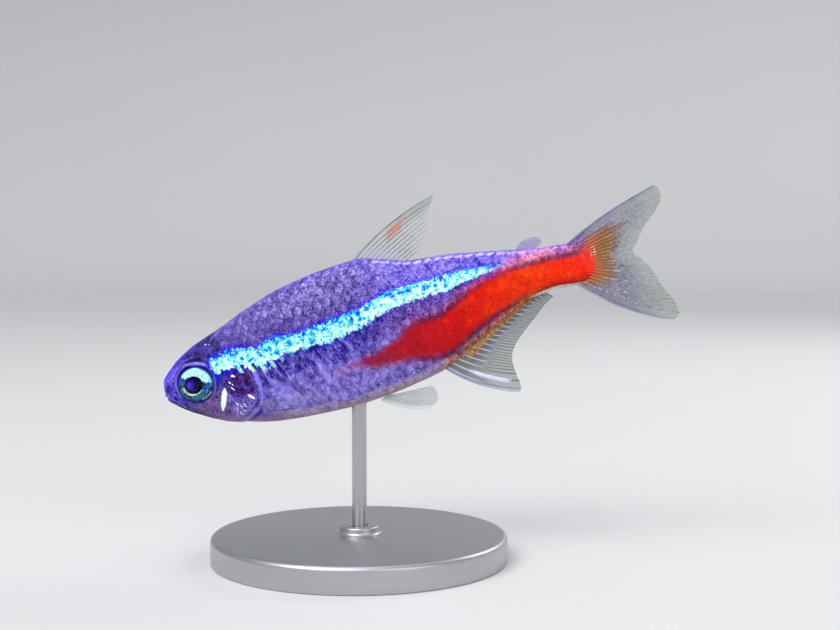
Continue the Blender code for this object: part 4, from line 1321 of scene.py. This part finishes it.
def fix_normals(obj):
    """Turns a closed mesh's faces outward."""
    mesh = obj.data
    co = np.empty(len(mesh.vertices) * 3)
    mesh.vertices.foreach_get("co", co)
    co = co.reshape(-1, 3)
    mesh.calc_loop_triangles()
    tri = np.empty(len(mesh.loop_triangles) * 3, np.int32)
    mesh.loop_triangles.foreach_get("vertices", tri)
    tri = tri.reshape(-1, 3)
    centre = co.mean(0)
    a, b, c = (co[tri[:, i]] - centre for i in range(3))
    volume = np.einsum("ij,ij->i", a, np.cross(b, c)).sum()
    if volume < 0:
        mesh.flip_normals()
    return volume


# --- fins -------------------------------------------------------------------------------
def fin_surface(root, edge, bow, u, v):
    """Points of a fin's middle sheet: u across the rays, v out along them."""
    a = np.stack(root(u), -1)
    b = np.stack([smooth(edge, c, u) for c in (1, 2, 3)], -1)
    d = b - a
    side = np.stack([-d[..., 2], np.zeros_like(u), d[..., 0]], -1)
    return a + d * v[..., None] + side * (bow(u) * 4 * v * (1 - v))[..., None]


def build_fin(
    name, root, edge, bow, rays, cols, rows, mat, branch=(0.35, 0.62), ray_r=0.0020,
    web=0.00050, tip=0.35, wave=0.0, curl=None, crowd=None, twigs=2, first_solid=1, fray=0.010, stout=0.0, lead_r=1.25,
):
    """A thin closed sheet with raised, jointed, branching rays."""
    u1 = np.linspace(0, 1, cols + 1)
    v1 = np.linspace(0, 1, rows + 1) ** 1.0
    U, V = np.meshgrid(u1, v1, indexing="ij")
    ray_u = np.linspace(0.5 / rays, 1 - 0.5 / rays, rays)
    if crowd is not None:
        ray_u = crowd(ray_u)
    gap = np.empty(rays)
    gap[1:-1] = (ray_u[2:] - ray_u[:-2]) / 2
    gap[0], gap[-1] = ray_u[1] - ray_u[0], ray_u[-1] - ray_u[-2]
    width = np.linalg.norm(
        fin_surface(root, edge, bow, np.ones_like(v1), v1) - fin_surface(root, edge, bow, np.zeros_like(v1), v1), axis=-1
    )[None, :]
    best = np.full(U.shape, 1e9)
    which = np.zeros(U.shape)
    for k, centre in enumerate(ray_u):
        offsets = [0.0]
        if first_solid <= k < rays - (1 if name == "caudal" else 0):
            s1 = ramp(branch[0], branch[0] + 0.30, V) * 0.25 * gap[k]
            s2 = ramp(branch[1], branch[1] + 0.25, V) * 0.125 * gap[k]
            offsets = [a * s1 for a in (-1, 1)] if twigs == 2 else [a * s1 + b * s2 for a in (-1, 1) for b in (-1, 1)]
        for off in offsets:
            gap_here = np.abs(U - centre - off)
            near = gap_here < best
            best = np.where(near, gap_here, best)
            which = np.where(near, k, which)
    dist = best * width
    radius = ray_r * mix(1.0, tip, V) * np.where(which < first_solid, lead_r, 1.0)
    x = np.clip(dist / radius, 0, 1)
    ridge = np.sqrt(np.clip(1 - x * x, 0, 1))
    length = np.linalg.norm(
        fin_surface(root, edge, bow, u1, np.ones_like(u1)) - fin_surface(root, edge, bow, u1, np.zeros_like(u1)), axis=-1
    )[:, None]
    joints = np.cos(2 * np.pi * V * length / 0.0078 + which * 1.7) * 0.5 + 0.5
    joint = (joints**8) * ramp(0.18, 0.30, V)
    thick = web * mix(1.0, 0.6, V) + radius * ridge * (1 - 0.30 * joint) * 0.85
    margin = 1 - ramp(0.965, 1.0, V) * 0.55
    thick = thick * margin
    thick = thick + stout * (1 - ramp(0.02, 0.32, V)) * (1 - 0.6 * (2 * U - 1) ** 2) * (0.85 + 0.15 * ridge)
    # rays end a little past the web
    V2 = V * (1 - fray * (1 - ridge) * ramp(0.7, 1.0, V))
    P = fin_surface(root, edge, bow, U, V2)
    ripple = wave * np.sin(2 * np.pi * (U * rays * 0.5)) * V * (1 - 0.2 * V)
    if curl is not None:
        ripple = ripple + curl(U, V)
    du = np.gradient(P, axis=0)
    dv = np.gradient(P, axis=1)
    n = np.cross(du, dv)
    n /= np.maximum(np.linalg.norm(n, axis=-1, keepdims=True), 1e-12)
    mid = P + n * ripple[..., None]
    front = mid + n * thick[..., None]
    rear = mid - n * thick[..., None]
    points = np.concatenate([front.reshape(-1, 3), rear.reshape(-1, 3)])
    per = U.size
    g = np.arange(per).reshape(cols + 1, rows + 1)
    top = np.stack([g[:-1, :-1], g[1:, :-1], g[1:, 1:], g[:-1, 1:]], -1).reshape(-1, 4)
    bottom = top[:, ::-1] + per
    rimline = np.concatenate([g[:, 0], g[-1, 1:], g[::-1, -1][1:], g[0, ::-1][1:-1]])
    nxt = np.roll(rimline, -1)
    rim = np.stack([rimline, rimline + per, nxt + per, nxt], -1)
    faces = np.concatenate([top, bottom, rim])
    two = lambda a: np.concatenate([a.ravel(), a.ravel()])
    flat = np.concatenate([P.reshape(-1, 3)] * 2) * MM
    fields = {
        "flat": flat,
        "fin_u": two(U),
        "fin_v": two(V),
        "ray": two(ridge),
        "joint": two(joint),
        "ray_k": two((which + 0.5) / rays),
    }
    obj = make_mesh(name, posed(points), [faces], fields)
    fix_normals(obj)
    obj.data.materials.append(mat)
    return obj


def fin_material(name, paint, open_web=0.42, open_ray=0.10):
    """Translucent webs between horn-like rays. paint gives colour and how solid it is."""
    g = Graph(name)
    flat = g.field("flat", "Vector")
    u, v, ray, joint, k = (g.field(a) for a in ("fin_u", "fin_v", "ray", "joint", "ray_k"))
    fine = g.noise(flat, 5.0, 3.0, 0.6)
    broad = g.noise(flat, 0.7, 2.0, 0.5)
    bony = g.step(0.10, 0.75, ray)
    colour, solid = paint(g, flat, u, v, bony, joint, k, fine, broad)
    g.set(Base_Color=colour, Roughness=0.30 + fine * 0.16)
    g.set(Alpha=solid)
    g.bsdf.inputs["Specular IOR Level"].default_value = 0.5
    g.bsdf.inputs["Coat Weight"].default_value = 0.15
    g.bsdf.inputs["Coat Roughness"].default_value = 0.15
    g.set(Normal=g.bump(fine * 0.4 + bony * 0.6, 0.25, 0.00002))
    g.mat.blend_method = "BLEND" if hasattr(g.mat, "blend_method") else None
    return g.mat


def paint_caudal(g, flat, u, v, bony, joint, k, fine, broad):
    web = g.mix(srgb(92, 98, 122), srgb(130, 116, 140), g.step(0.35, 0.65, broad))
    web = g.mix(web, srgb(132, 146, 136), g.step(0.45, 0.95, v + (broad - 0.5) * 0.5))
    raycol = g.mix(srgb(78, 80, 104), srgb(196, 198, 214), g.step(0.34, 0.68, fine))
    raycol = g.mix(raycol, srgb(80, 78, 104), joint * (0.5 - g.step(0.45, 0.60, u) * g.step(0.55, 0.75, v) * 0.35))
    colour = g.mix(web, raycol, bony * 0.9)
    each = g.noise(g.vector(k * 40.0, 0.0, 0.0), 1.0, 1.0)
    # orange runs out from the flesh along the middle rays
    away = u - 0.40
    limit = away * away * -1.3 - g.step(0.5, 1.0, u) * 0.12
    reach = v + (fine - 0.5) * 0.26 + (each - 0.5) * 0.36 - limit
    orange = g.step(0.72, 0.42, reach) * g.step(0.06, 0.17, u + (fine - 0.5) * 0.06)
    warm = g.mix(srgb(204, 84, 0), srgb(140, 92, 4), g.step(0.16, 0.40, v + (fine - 0.5) * 0.1))
    warm = g.mix(warm, srgb(168, 110, 30), g.step(0.62, 0.80, u) * 0.8)
    warm = g.mix(warm, srgb(228, 188, 104), bony * 0.28 * g.step(0.16, 0.4, v) * g.step(0.42, 0.60, fine * 0.5 + each * 0.5))
    warm = g.mix(warm, srgb(112, 50, 6), (1.0 - bony) * 0.35)
    colour = g.mix(colour, warm, orange * 0.92)
    bulge = g.math("ABSOLUTE", u - 0.50)
    hot = g.step(0.235, 0.165, v + (fine - 0.5) * 0.16 + bulge * bulge * 0.7) * g.step(0.42, 0.26, bulge + (fine - 0.5) * 0.16)
    colour = g.mix(colour, srgb(238, 50, 4), hot * 0.92)
    plum = g.step(0.20, 0.06, v + (fine - 0.5) * 0.22 - g.step(0.2, 0.0, u) * 0.06) * g.step(0.30, 0.16, u + (fine - 0.5) * 0.10)
    colour = g.mix(colour, g.mix(srgb(74, 34, 116), srgb(150, 96, 176), g.step(0.3, 0.7, fine)), plum * 0.80)
    flecks = g.step(0.055, 0.03, g.math("ABSOLUTE", v - 0.235)) * g.step(0.12, 0.05, g.math("ABSOLUTE", u - 0.36)) * bony
    colour = g.mix(colour, srgb(252, 214, 214), flecks * g.step(0.40, 0.55, fine))
    lead = g.math("MAXIMUM", g.step(0.055, 0.02, u), g.step(0.95, 0.985, u))
    colour = g.mix(colour, g.mix(srgb(132, 138, 190), srgb(54, 52, 104), bony), lead * g.step(1.1, 0.55, v) * 0.80)
    low_lead = g.step(0.968, 0.990, u) * g.step(0.50, 0.20, v)
    colour = g.mix(colour, srgb(226, 222, 236), low_lead * 0.6)
    open_tip = g.step(0.35, 1.0, v + (broad - 0.5) * 0.4)
    solid = 0.50 + bony * 0.32 + orange * 0.54 + hot * 0.6 + plum * 0.45 + lead * 0.14 - open_tip * 0.20
    return colour, g.math("MINIMUM", solid, 1.0)


def paint_dorsal(g, flat, u, v, bony, joint, k, fine, broad):
    web = g.mix(srgb(176, 184, 184), srgb(196, 196, 206), broad)
    raycol = g.mix(srgb(40, 48, 52), srgb(138, 152, 152), g.step(0.36, 0.68, fine))
    raycol = g.mix(raycol, srgb(60, 64, 78), joint * 0.6)
    colour = g.mix(web, raycol, bony * 0.9)
    base = g.step(0.36, 0.06, v + (fine - 0.5) * 0.16)
    colour = g.mix(colour, srgb(170, 190, 236), base * bony * 0.8)
    dark = g.step(0.30, 0.85, v) * g.step(0.42, 0.10, u)
    colour = g.mix(colour, srgb(44, 54, 58), dark * (bony * 0.5 + 0.35))
    lead = g.step(0.06, 0.02, u)
    colour = g.mix(colour, g.mix(srgb(44, 54, 64), srgb(120, 134, 142), fine), lead * 0.8)
    place = g.math("ABSOLUTE", v - 0.50 + (u - 0.2) * 0.5 + (fine - 0.5) * 0.12)
    patch = g.step(0.16, 0.05, place) * g.step(0.05, 0.12, u) * g.step(0.36, 0.24, u + (fine - 0.5) * 0.1)
    colour = g.mix(colour, g.mix(srgb(176, 70, 10), srgb(222, 122, 44), fine), patch * (bony * 0.35 + 0.60))
    faint = g.step(0.25, 0.95, u) * g.step(0.25, 0.9, v)
    solid = 0.12 + bony * 0.62 + base * 0.08 + dark * 0.30 + patch * 0.30 + lead * 0.26 - faint * bony * 0.42
    return colour, g.math("MINIMUM", solid, 1.0)


def paint_anal(g, flat, u, v, bony, joint, k, fine, broad):
    web = g.mix(srgb(92, 110, 100), srgb(124, 132, 130), broad)
    each = g.noise(g.vector(k * 60.0, v * 2.4, 0.0), 1.0, 1.0)
    near = g.step(0.70, 0.30, v)
    pale = g.mix(srgb(150, 146, 176), srgb(228, 230, 250), each)
    raycol = g.mix(srgb(84, 96, 98), pale, near)
    gaps = g.mix(web, srgb(44, 42, 66), near * 0.9 * g.step(0.06, 0.2, v) * g.step(0.10, 0.24, u))
    colour = g.mix(gaps, raycol, bony)
    base = g.step(0.36, 0.16, v + (fine - 0.5) * 0.18)
    colour = g.mix(colour, g.mix(srgb(132, 76, 14), srgb(222, 170, 96), g.step(0.35, 0.65, fine)), base * 0.9 * g.step(0.10, 0.26, u))
    colour = g.mix(colour, srgb(150, 78, 20), g.step(0.42, 0.12, v) * g.step(0.55, 0.85, u) * 0.6)
    streak = g.step(0.060, 0.070, u + v * 0.008) * g.step(0.100, 0.088, u + v * 0.012) * g.step(0.24, 0.42, v) * g.step(0.95, 0.80, v)
    colour = g.mix(colour, srgb(222, 226, 255), streak * 0.9)
    lead = g.step(0.05, 0.0, u)
    colour = g.mix(colour, srgb(150, 156, 206), lead * 0.7)
    edge = g.step(0.965, 0.99, v) * g.step(0.3, 0.5, u)
    colour = g.mix(colour, srgb(80, 86, 92), edge * 0.6)
    solid = 0.36 + bony * 0.36 + base * 0.34 + near * 0.26 + streak * 0.4 + edge * 0.2
    return colour, g.math("MINIMUM", solid, 1.0)


def paint_clear(g, flat, u, v, bony, joint, k, fine, broad):
    web = g.mix(srgb(160, 176, 172), srgb(186, 190, 196), broad)
    colour = g.mix(web, g.mix(srgb(132, 144, 146), srgb(202, 212, 210), fine), bony * 0.8)
    lead = g.step(0.12, 0.04, u)
    colour = g.mix(colour, srgb(196, 214, 204), lead * 0.8)
    solid = 0.16 + bony * 0.30 + lead * 0.22 + g.step(0.12, 0.0, v) * 0.15
    return colour, solid


def paint_pectoral(g, flat, u, v, bony, joint, k, fine, broad):
    colour = g.mix(srgb(150, 146, 190), srgb(206, 206, 236), bony * 0.8 + fine * 0.2)
    lead = g.step(0.10, 0.03, u)
    solid = 0.02 + bony * 0.07 + lead * 0.05
    return colour, solid


def paint_adipose(g, flat, u, v, bony, joint, k, fine, broad):
    colour = g.mix(srgb(128, 122, 184), srgb(158, 152, 204), g.step(0.3, 0.7, fine))
    return colour, 0.40 + fine * 0.14 - g.step(0.6, 1.0, v) * 0.12


DORSAL = (0.499, 0.613)
DORSAL_EDGE = (
    (0.00, 0.704, 0, 0.2385),
    (0.04, 0.711, 0, 0.2405),
    (0.12, 0.705, 0, 0.2290),
    (0.30, 0.692, 0, 0.212),
    (0.55, 0.684, 0, 0.188),
    (0.80, 0.664, 0, 0.155),
    (1.00, 0.642, 0, 0.128),
)
ADIPOSE = (0.846, 0.884)
ADIPOSE_EDGE = (
    (0.0, 0.868, 0, 0.0880),
    (0.4, 0.889, 0, 0.0900),
    (0.8, 0.906, 0, 0.0830),
    (1.0, 0.909, 0, 0.0740),
)
ANAL = (0.629, 0.886)
ANAL_EDGE = (
    (0.00, 0.772, 0, -0.2295),
    (0.05, 0.778, 0, -0.2150),
    (0.12, 0.775, 0, -0.1850),
    (0.20, 0.774, 0, -0.1630),
    (0.28, 0.778, 0, -0.1460),
    (0.36, 0.790, 0, -0.1270),
    (0.47, 0.811, 0, -0.1080),
    (0.66, 0.847, 0, -0.0820),
    (0.85, 0.878, 0, -0.0590),
    (1.00, 0.900, 0, -0.0480),
)
CAUDAL_EDGE = (
    (0.00, 1.160, 0, 0.1200),
    (0.025, 1.176, 0, 0.1240),
    (0.05, 1.186, 0, 0.1150),
    (0.09, 1.186, 0, 0.0980),
    (0.18, 1.170, 0, 0.074),
    (0.30, 1.132, 0, 0.043),
    (0.40, 1.109, 0, 0.017),
    (0.47, 1.093, 0, -0.002),
    (0.55, 1.107, 0, -0.025),
    (0.63, 1.119, 0, -0.047),
    (0.75, 1.133, 0, -0.092),
    (0.87, 1.151, 0, -0.138),
    (0.92, 1.153, 0, -0.156),
    (0.965, 1.140, 0, -0.171),
    (1.00, 1.116, 0, -0.164),
)


def zero(u):
    return np.zeros_like(u)


def caudal_root(u):
    f = 0.978 - 0.030 * np.abs(2 * u - 1) ** 2.5
    return f, zero(u), mix(0.0500, -0.0320, u)


def build_fins():
    fins = []
    mats = {
        "caudal": fin_material("fin_caudal", paint_caudal),
        "dorsal": fin_material("fin_dorsal", paint_dorsal),
        "anal": fin_material("fin_anal", paint_anal),
        "clear": fin_material("fin_clear", paint_clear),
        "adipose": fin_material("fin_adipose", paint_adipose),
        "pectoral": fin_material("fin_pectoral", paint_pectoral),
    }
    caudal = build_fin(
        "caudal", caudal_root, CAUDAL_EDGE, lambda u: mix(0.034, -0.050, u),
        21, 504, 96, mats["caudal"], ray_r=0.0019, web=0.00055, tip=0.30,
        curl=lambda U, V: 0.010 * V**2 * np.sin((U - 0.5) * 5.0),
        crowd=lambda r: r + 0.030 * np.sin(2 * np.pi * r), first_solid=2, stout=0.0105, lead_r=0.75,
    )
    fins.append((caudal, "caudal_fin"))
    dorsal = build_fin(
        "dorsal",
        lambda u: (mix(*DORSAL, u) - 0.0065, zero(u), back(mix(*DORSAL, u)) - 0.006),
        DORSAL_EDGE, lambda u: 0.052 * (1 - u) ** 2,
        11, 220, 72, mats["dorsal"], ray_r=0.0017, web=0.00035, lead_r=0.95,
        curl=lambda U, V: 0.006 * V**2 * np.sin(U * 3.0), first_solid=11,
    )
    fins.append((dorsal, "dorsal_fin"))
    anal = build_fin(
        "anal",
        lambda u: (mix(*ANAL, u) - 0.005, zero(u), belly(mix(*ANAL, u)) + 0.005),
        ANAL_EDGE, lambda u: -0.07 * (1 - u) ** 2,
        20, 400, 64, mats["anal"], ray_r=0.0018, web=0.00045,
        curl=lambda U, V: -0.006 * V**2 * np.cos(U * 2.0), first_solid=2,
    )
    fins.append((anal, "anal_fin"))
    adipose = build_fin(
        "adipose",
        lambda u: (mix(*ADIPOSE, u), zero(u), back(mix(*ADIPOSE, u)) - 0.006),
        ADIPOSE_EDGE, lambda u: 0.10 * (1 - u),
        6, 48, 28, mats["adipose"], ray_r=0.0006, web=0.0016,
    )
    fins.append((adipose, "adipose_fin"))
    for side, word in ((-1, "left"), (1, "right")):
        pelvic = build_fin(
            "pelvic_" + word,
            lambda u, s=side: (mix(0.474, 0.492, u), s * mix(0.021, 0.011, u), -0.1575 - 0.002 * (1 - u)),
            (
                (0.0, 0.576, side * 0.043, -0.206),
                (0.3, 0.590, side * 0.036, -0.197),
                (0.7, 0.593, side * 0.023, -0.178),
                (1.0, 0.588, side * 0.014, -0.163),
            ),
            lambda u: -0.08 * (1 - u),
            8, 128, 48, mats["clear"], ray_r=0.0014, web=0.00035,
        )
        fins.append((pelvic, "pelvic_fin_" + word))
        pectoral = build_fin(
            "pectoral_" + word,
            lambda u, s=side: (mix(0.218, 0.222, u), s * mix(0.0600, 0.0570, u), mix(-0.088, -0.106, u)),
            (
                (0.0, 0.368, side * 0.097, -0.106),
                (0.3, 0.381, side * 0.098, -0.117),
                (0.7, 0.364, side * 0.092, -0.137),
                (1.0, 0.335, side * 0.084, -0.146),
            ),
            lambda u: mix(0.04, -0.05, u),
            10, 150, 48, mats["pectoral"], ray_r=0.0010, web=0.00030,
        )
        fins.append((pectoral, "pectoral_fin_" + word))
    return fins


# --- stand -----------------------------------------------------------------------------
def stand_pieces():
    g = Graph("stand_satin")
    place = g.node("ShaderNodeTexCoord")
    at = Sock(g, place.outputs["Object"])
    x, y, z = g.parts(at)
    r = g.math("SQRT", x * x + y * y)
    rings = g.noise(g.vector(r * 9000.0, z * 2000.0, 0.0), 1.0, 3.0, 0.7)
    cloud = g.noise(at, 260.0, 3.0)
    g.set(
        Base_Color=g.mix(srgb(176, 178, 182), srgb(196, 197, 200), rings * 0.6 + cloud * 0.4),
        Roughness=0.30 + rings * 0.12 + cloud * 0.06,
        Metallic=1.0,
    )
    g.set(Normal=g.bump(rings, 0.22, 0.000004))
    R, T, E = 0.009, 0.0016, 0.0003
    arc = lambda cx, cz, r0, a0, a1, n: [
        (cx + r0 * math.cos(a), cz + r0 * math.sin(a)) for a in np.linspace(a0, a1, n)
    ]
    rows = [(0, 0.0), (R - 0.00012, 0.0)]
    rows += arc(R - 0.00010, 0.00010, 0.00010, -math.pi / 2, 0, 5)
    rows += arc(R - E, T - E, E, 0, math.pi / 2, 9)
    rows += [(0.00165, T)]
    rows += [(0.0012 + 0.00030 * (1 - math.sin(a)), T + 0.00022 * (1 - math.cos(a))) for a in np.linspace(0.2, math.pi / 2, 6)]
    rows += [(0.0012, 0.0019)]
    rows += arc(0.0012 - 0.00012, 0.0021 - 0.00012, 0.00012, 0, math.pi / 2, 5)
    rows += [(0.00056, 0.0021), (0.00052, 0.00206), (0.00052, 0.0011), (0, 0.0011)]
    pts, faces = turned(rows, 192)
    base = make_mesh("stand_disc", pts, faces, sharp=30)
    fix_normals(base)
    base.data.materials.append(g.mat)

    s = Graph("stand_steel")
    place = s.node("ShaderNodeTexCoord")
    x, y, z = s.parts(Sock(s, place.outputs["Object"]))
    drawn = s.noise(s.vector(x * 9000.0, y * 9000.0, z * 260.0), 1.0, 3.0, 0.7)
    s.set(
        Base_Color=s.mix(srgb(168, 170, 174), srgb(192, 193, 196), drawn),
        Roughness=0.20 + drawn * 0.14,
        Metallic=1.0,
    )
    s.set(Normal=s.bump(drawn, 0.15, 0.000003))
    rows = [(0, 0.0012), (0.00042, 0.0012), (0.00045, 0.00125)]
    rows += [(0.00045, z) for z in np.linspace(0.0022, 0.0094, 10)]
    rows += [(0.00045, 0.0100), (0.00040, 0.0101), (0, 0.0101)]
    pts, faces = turned(rows, 64)
    rod = make_mesh("stand_post", pts, faces, sharp=30)
    fix_normals(rod)
    rod.data.materials.append(s.mat)
    return base, rod


# --- build everything -------------------------------------------------------------------
skin = build_skin()
fix_normals(skin)
skin.data.materials.append(skin_material("fish_skin", False))
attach(skin, "root")
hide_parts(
    "head", "lower_jaw", "gill_cover_left", "gill_cover_right", "trunk", "tail"
)

scale_mat = skin_material("fish_scales", True)
for side, word in ((-1, "left"), (1, "right")):
    scales, count = build_scales("scales_" + word, side)
    scales.data.materials.append(scale_mat)
    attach(scales, "root")
    print("scales", word, count, len(scales.data.polygons) * 2)

eye_mats = (eye_material(), lens_material(), cornea_material())
for side, word in ((-1, "left"), (1, "right")):
    ball, lens, cornea = build_eye(word, side, eye_mats)
    for piece in (ball, lens, cornea):
        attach(piece, "root")
    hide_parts("eye_" + word)

for piece, node in build_fins():
    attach(piece, "root")
    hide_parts(node)

disc, rod = stand_pieces()
for piece, node, slot_name in ((disc, "stand_base", "stand_disc"), (rod, "stand_rod", "stand_rod")):
    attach(piece, "root")
    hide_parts(node)

# --- floor, light, camera -----------------------------------------------------------------
def build_floor():
    """A round floor that sweeps up into a low wall, alike from every side."""
    flat, sweep, height, segments = 0.46, 0.16, 0.24, 160
    line = [(r, 0.0) for r in (0.03, 0.08, 0.16, 0.28, flat)]
    for a in np.linspace(0, math.pi / 2, 28)[1:]:
        line.append((flat + sweep * math.sin(a), sweep * (1 - math.cos(a))))
    line.append((flat + sweep, height))
    pts, faces = [(0.0, 0.0, 0.0)], []
    for r, z in line:
        for k in range(segments):
            a = 2 * math.pi * k / segments
            pts.append((r * math.cos(a), r * math.sin(a), z))
    for k in range(segments):
        faces.append((0, 1 + k, 1 + (k + 1) % segments))
    for i in range(len(line) - 1):
        for k in range(segments):
            m = (k + 1) % segments
            at = 1 + i * segments
            faces.append((at + k, at + segments + k, at + segments + m, at + m))
    mesh = bpy.data.meshes.new("floor")
    mesh.from_pydata(pts, [], faces)
    mesh.shade_smooth()
    made = bpy.data.objects.new("floor", mesh)
    bpy.context.scene.collection.objects.link(made)
    made.location.z = -0.00001
    g = Graph("floor")
    place = g.node("ShaderNodeTexCoord")
    at = Sock(g, place.outputs["Object"])
    paper = g.noise(at, 900.0, 4.0, 0.6)
    wide = g.noise(at, 12.0, 2.0)
    g.set(Base_Color=g.mix(srgb(212, 213, 214), srgb(220, 220, 221), paper * 0.5 + wide * 0.5), Roughness=0.75 + paper * 0.15)
    g.set(Normal=g.bump(paper, 0.08, 0.00002))
    mesh.materials.append(g.mat)


build_floor()


def area(name, at, aim, size, power, colour=(1, 1, 1)):
    data = bpy.data.lights.new(name, "AREA")
    data.shape = "RECTANGLE"
    data.size, data.size_y = size
    data.energy = power
    data.color = colour
    made = bpy.data.objects.new(name, data)
    made.location = at
    made.rotation_euler = (Vector(aim) - Vector(at)).to_track_quat("-Z", "Y").to_euler()
    bpy.context.scene.collection.objects.link(made)
    return made


AIM = (0.003, 0.0, 0.014)
area("key", (-0.10, -0.17, 0.20), AIM, (0.16, 0.12), 0.32, (1.0, 0.985, 0.96))
area("fill", (0.20, -0.20, 0.12), AIM, (0.18, 0.12), 0.16, (0.95, 0.97, 1.0))
area("top", (0.0, 0.04, 0.26), AIM, (0.22, 0.16), 0.10)
area("rim", (0.14, 0.15, 0.14), AIM, (0.12, 0.10), 0.13)

sky_data = bpy.data.lights.new("ceiling", "SUN")
sky_data.energy = 1.20
sky_data.angle = math.radians(60)
sky = bpy.data.objects.new("ceiling", sky_data)
sky.rotation_euler = Vector((0.30, 0.60, -0.74)).to_track_quat("-Z", "Y").to_euler()
bpy.context.scene.collection.objects.link(sky)

world = bpy.data.worlds.new("studio")
bpy.context.scene.world = world
world.use_nodes = True
world.node_tree.nodes["Background"].inputs[0].default_value = (0.92, 0.95, 1.0, 1.0)
world.node_tree.nodes["Background"].inputs[1].default_value = 0.40

camera_data = bpy.data.cameras.new("camera")
camera_data.lens = 60
camera_data.sensor_width = 36
camera_data.clip_start = 0.001
camera_data.clip_end = 10
camera = bpy.data.objects.new("camera", camera_data)
YAW, ELEV, DIST = math.radians(7), math.radians(3), 0.0841
TARGET = Vector((0.00371, 0, 0.01491))
forward = Vector((-math.sin(YAW) * math.cos(ELEV), math.cos(YAW) * math.cos(ELEV), -math.sin(ELEV)))
camera.location = TARGET - forward * DIST
camera.rotation_euler = (math.pi / 2 - ELEV, 0, YAW)
bpy.context.scene.collection.objects.link(camera)
bpy.context.scene.camera = camera
bpy.context.scene.view_settings.view_transform = "Standard"
bpy.context.scene.view_settings.look = "None"
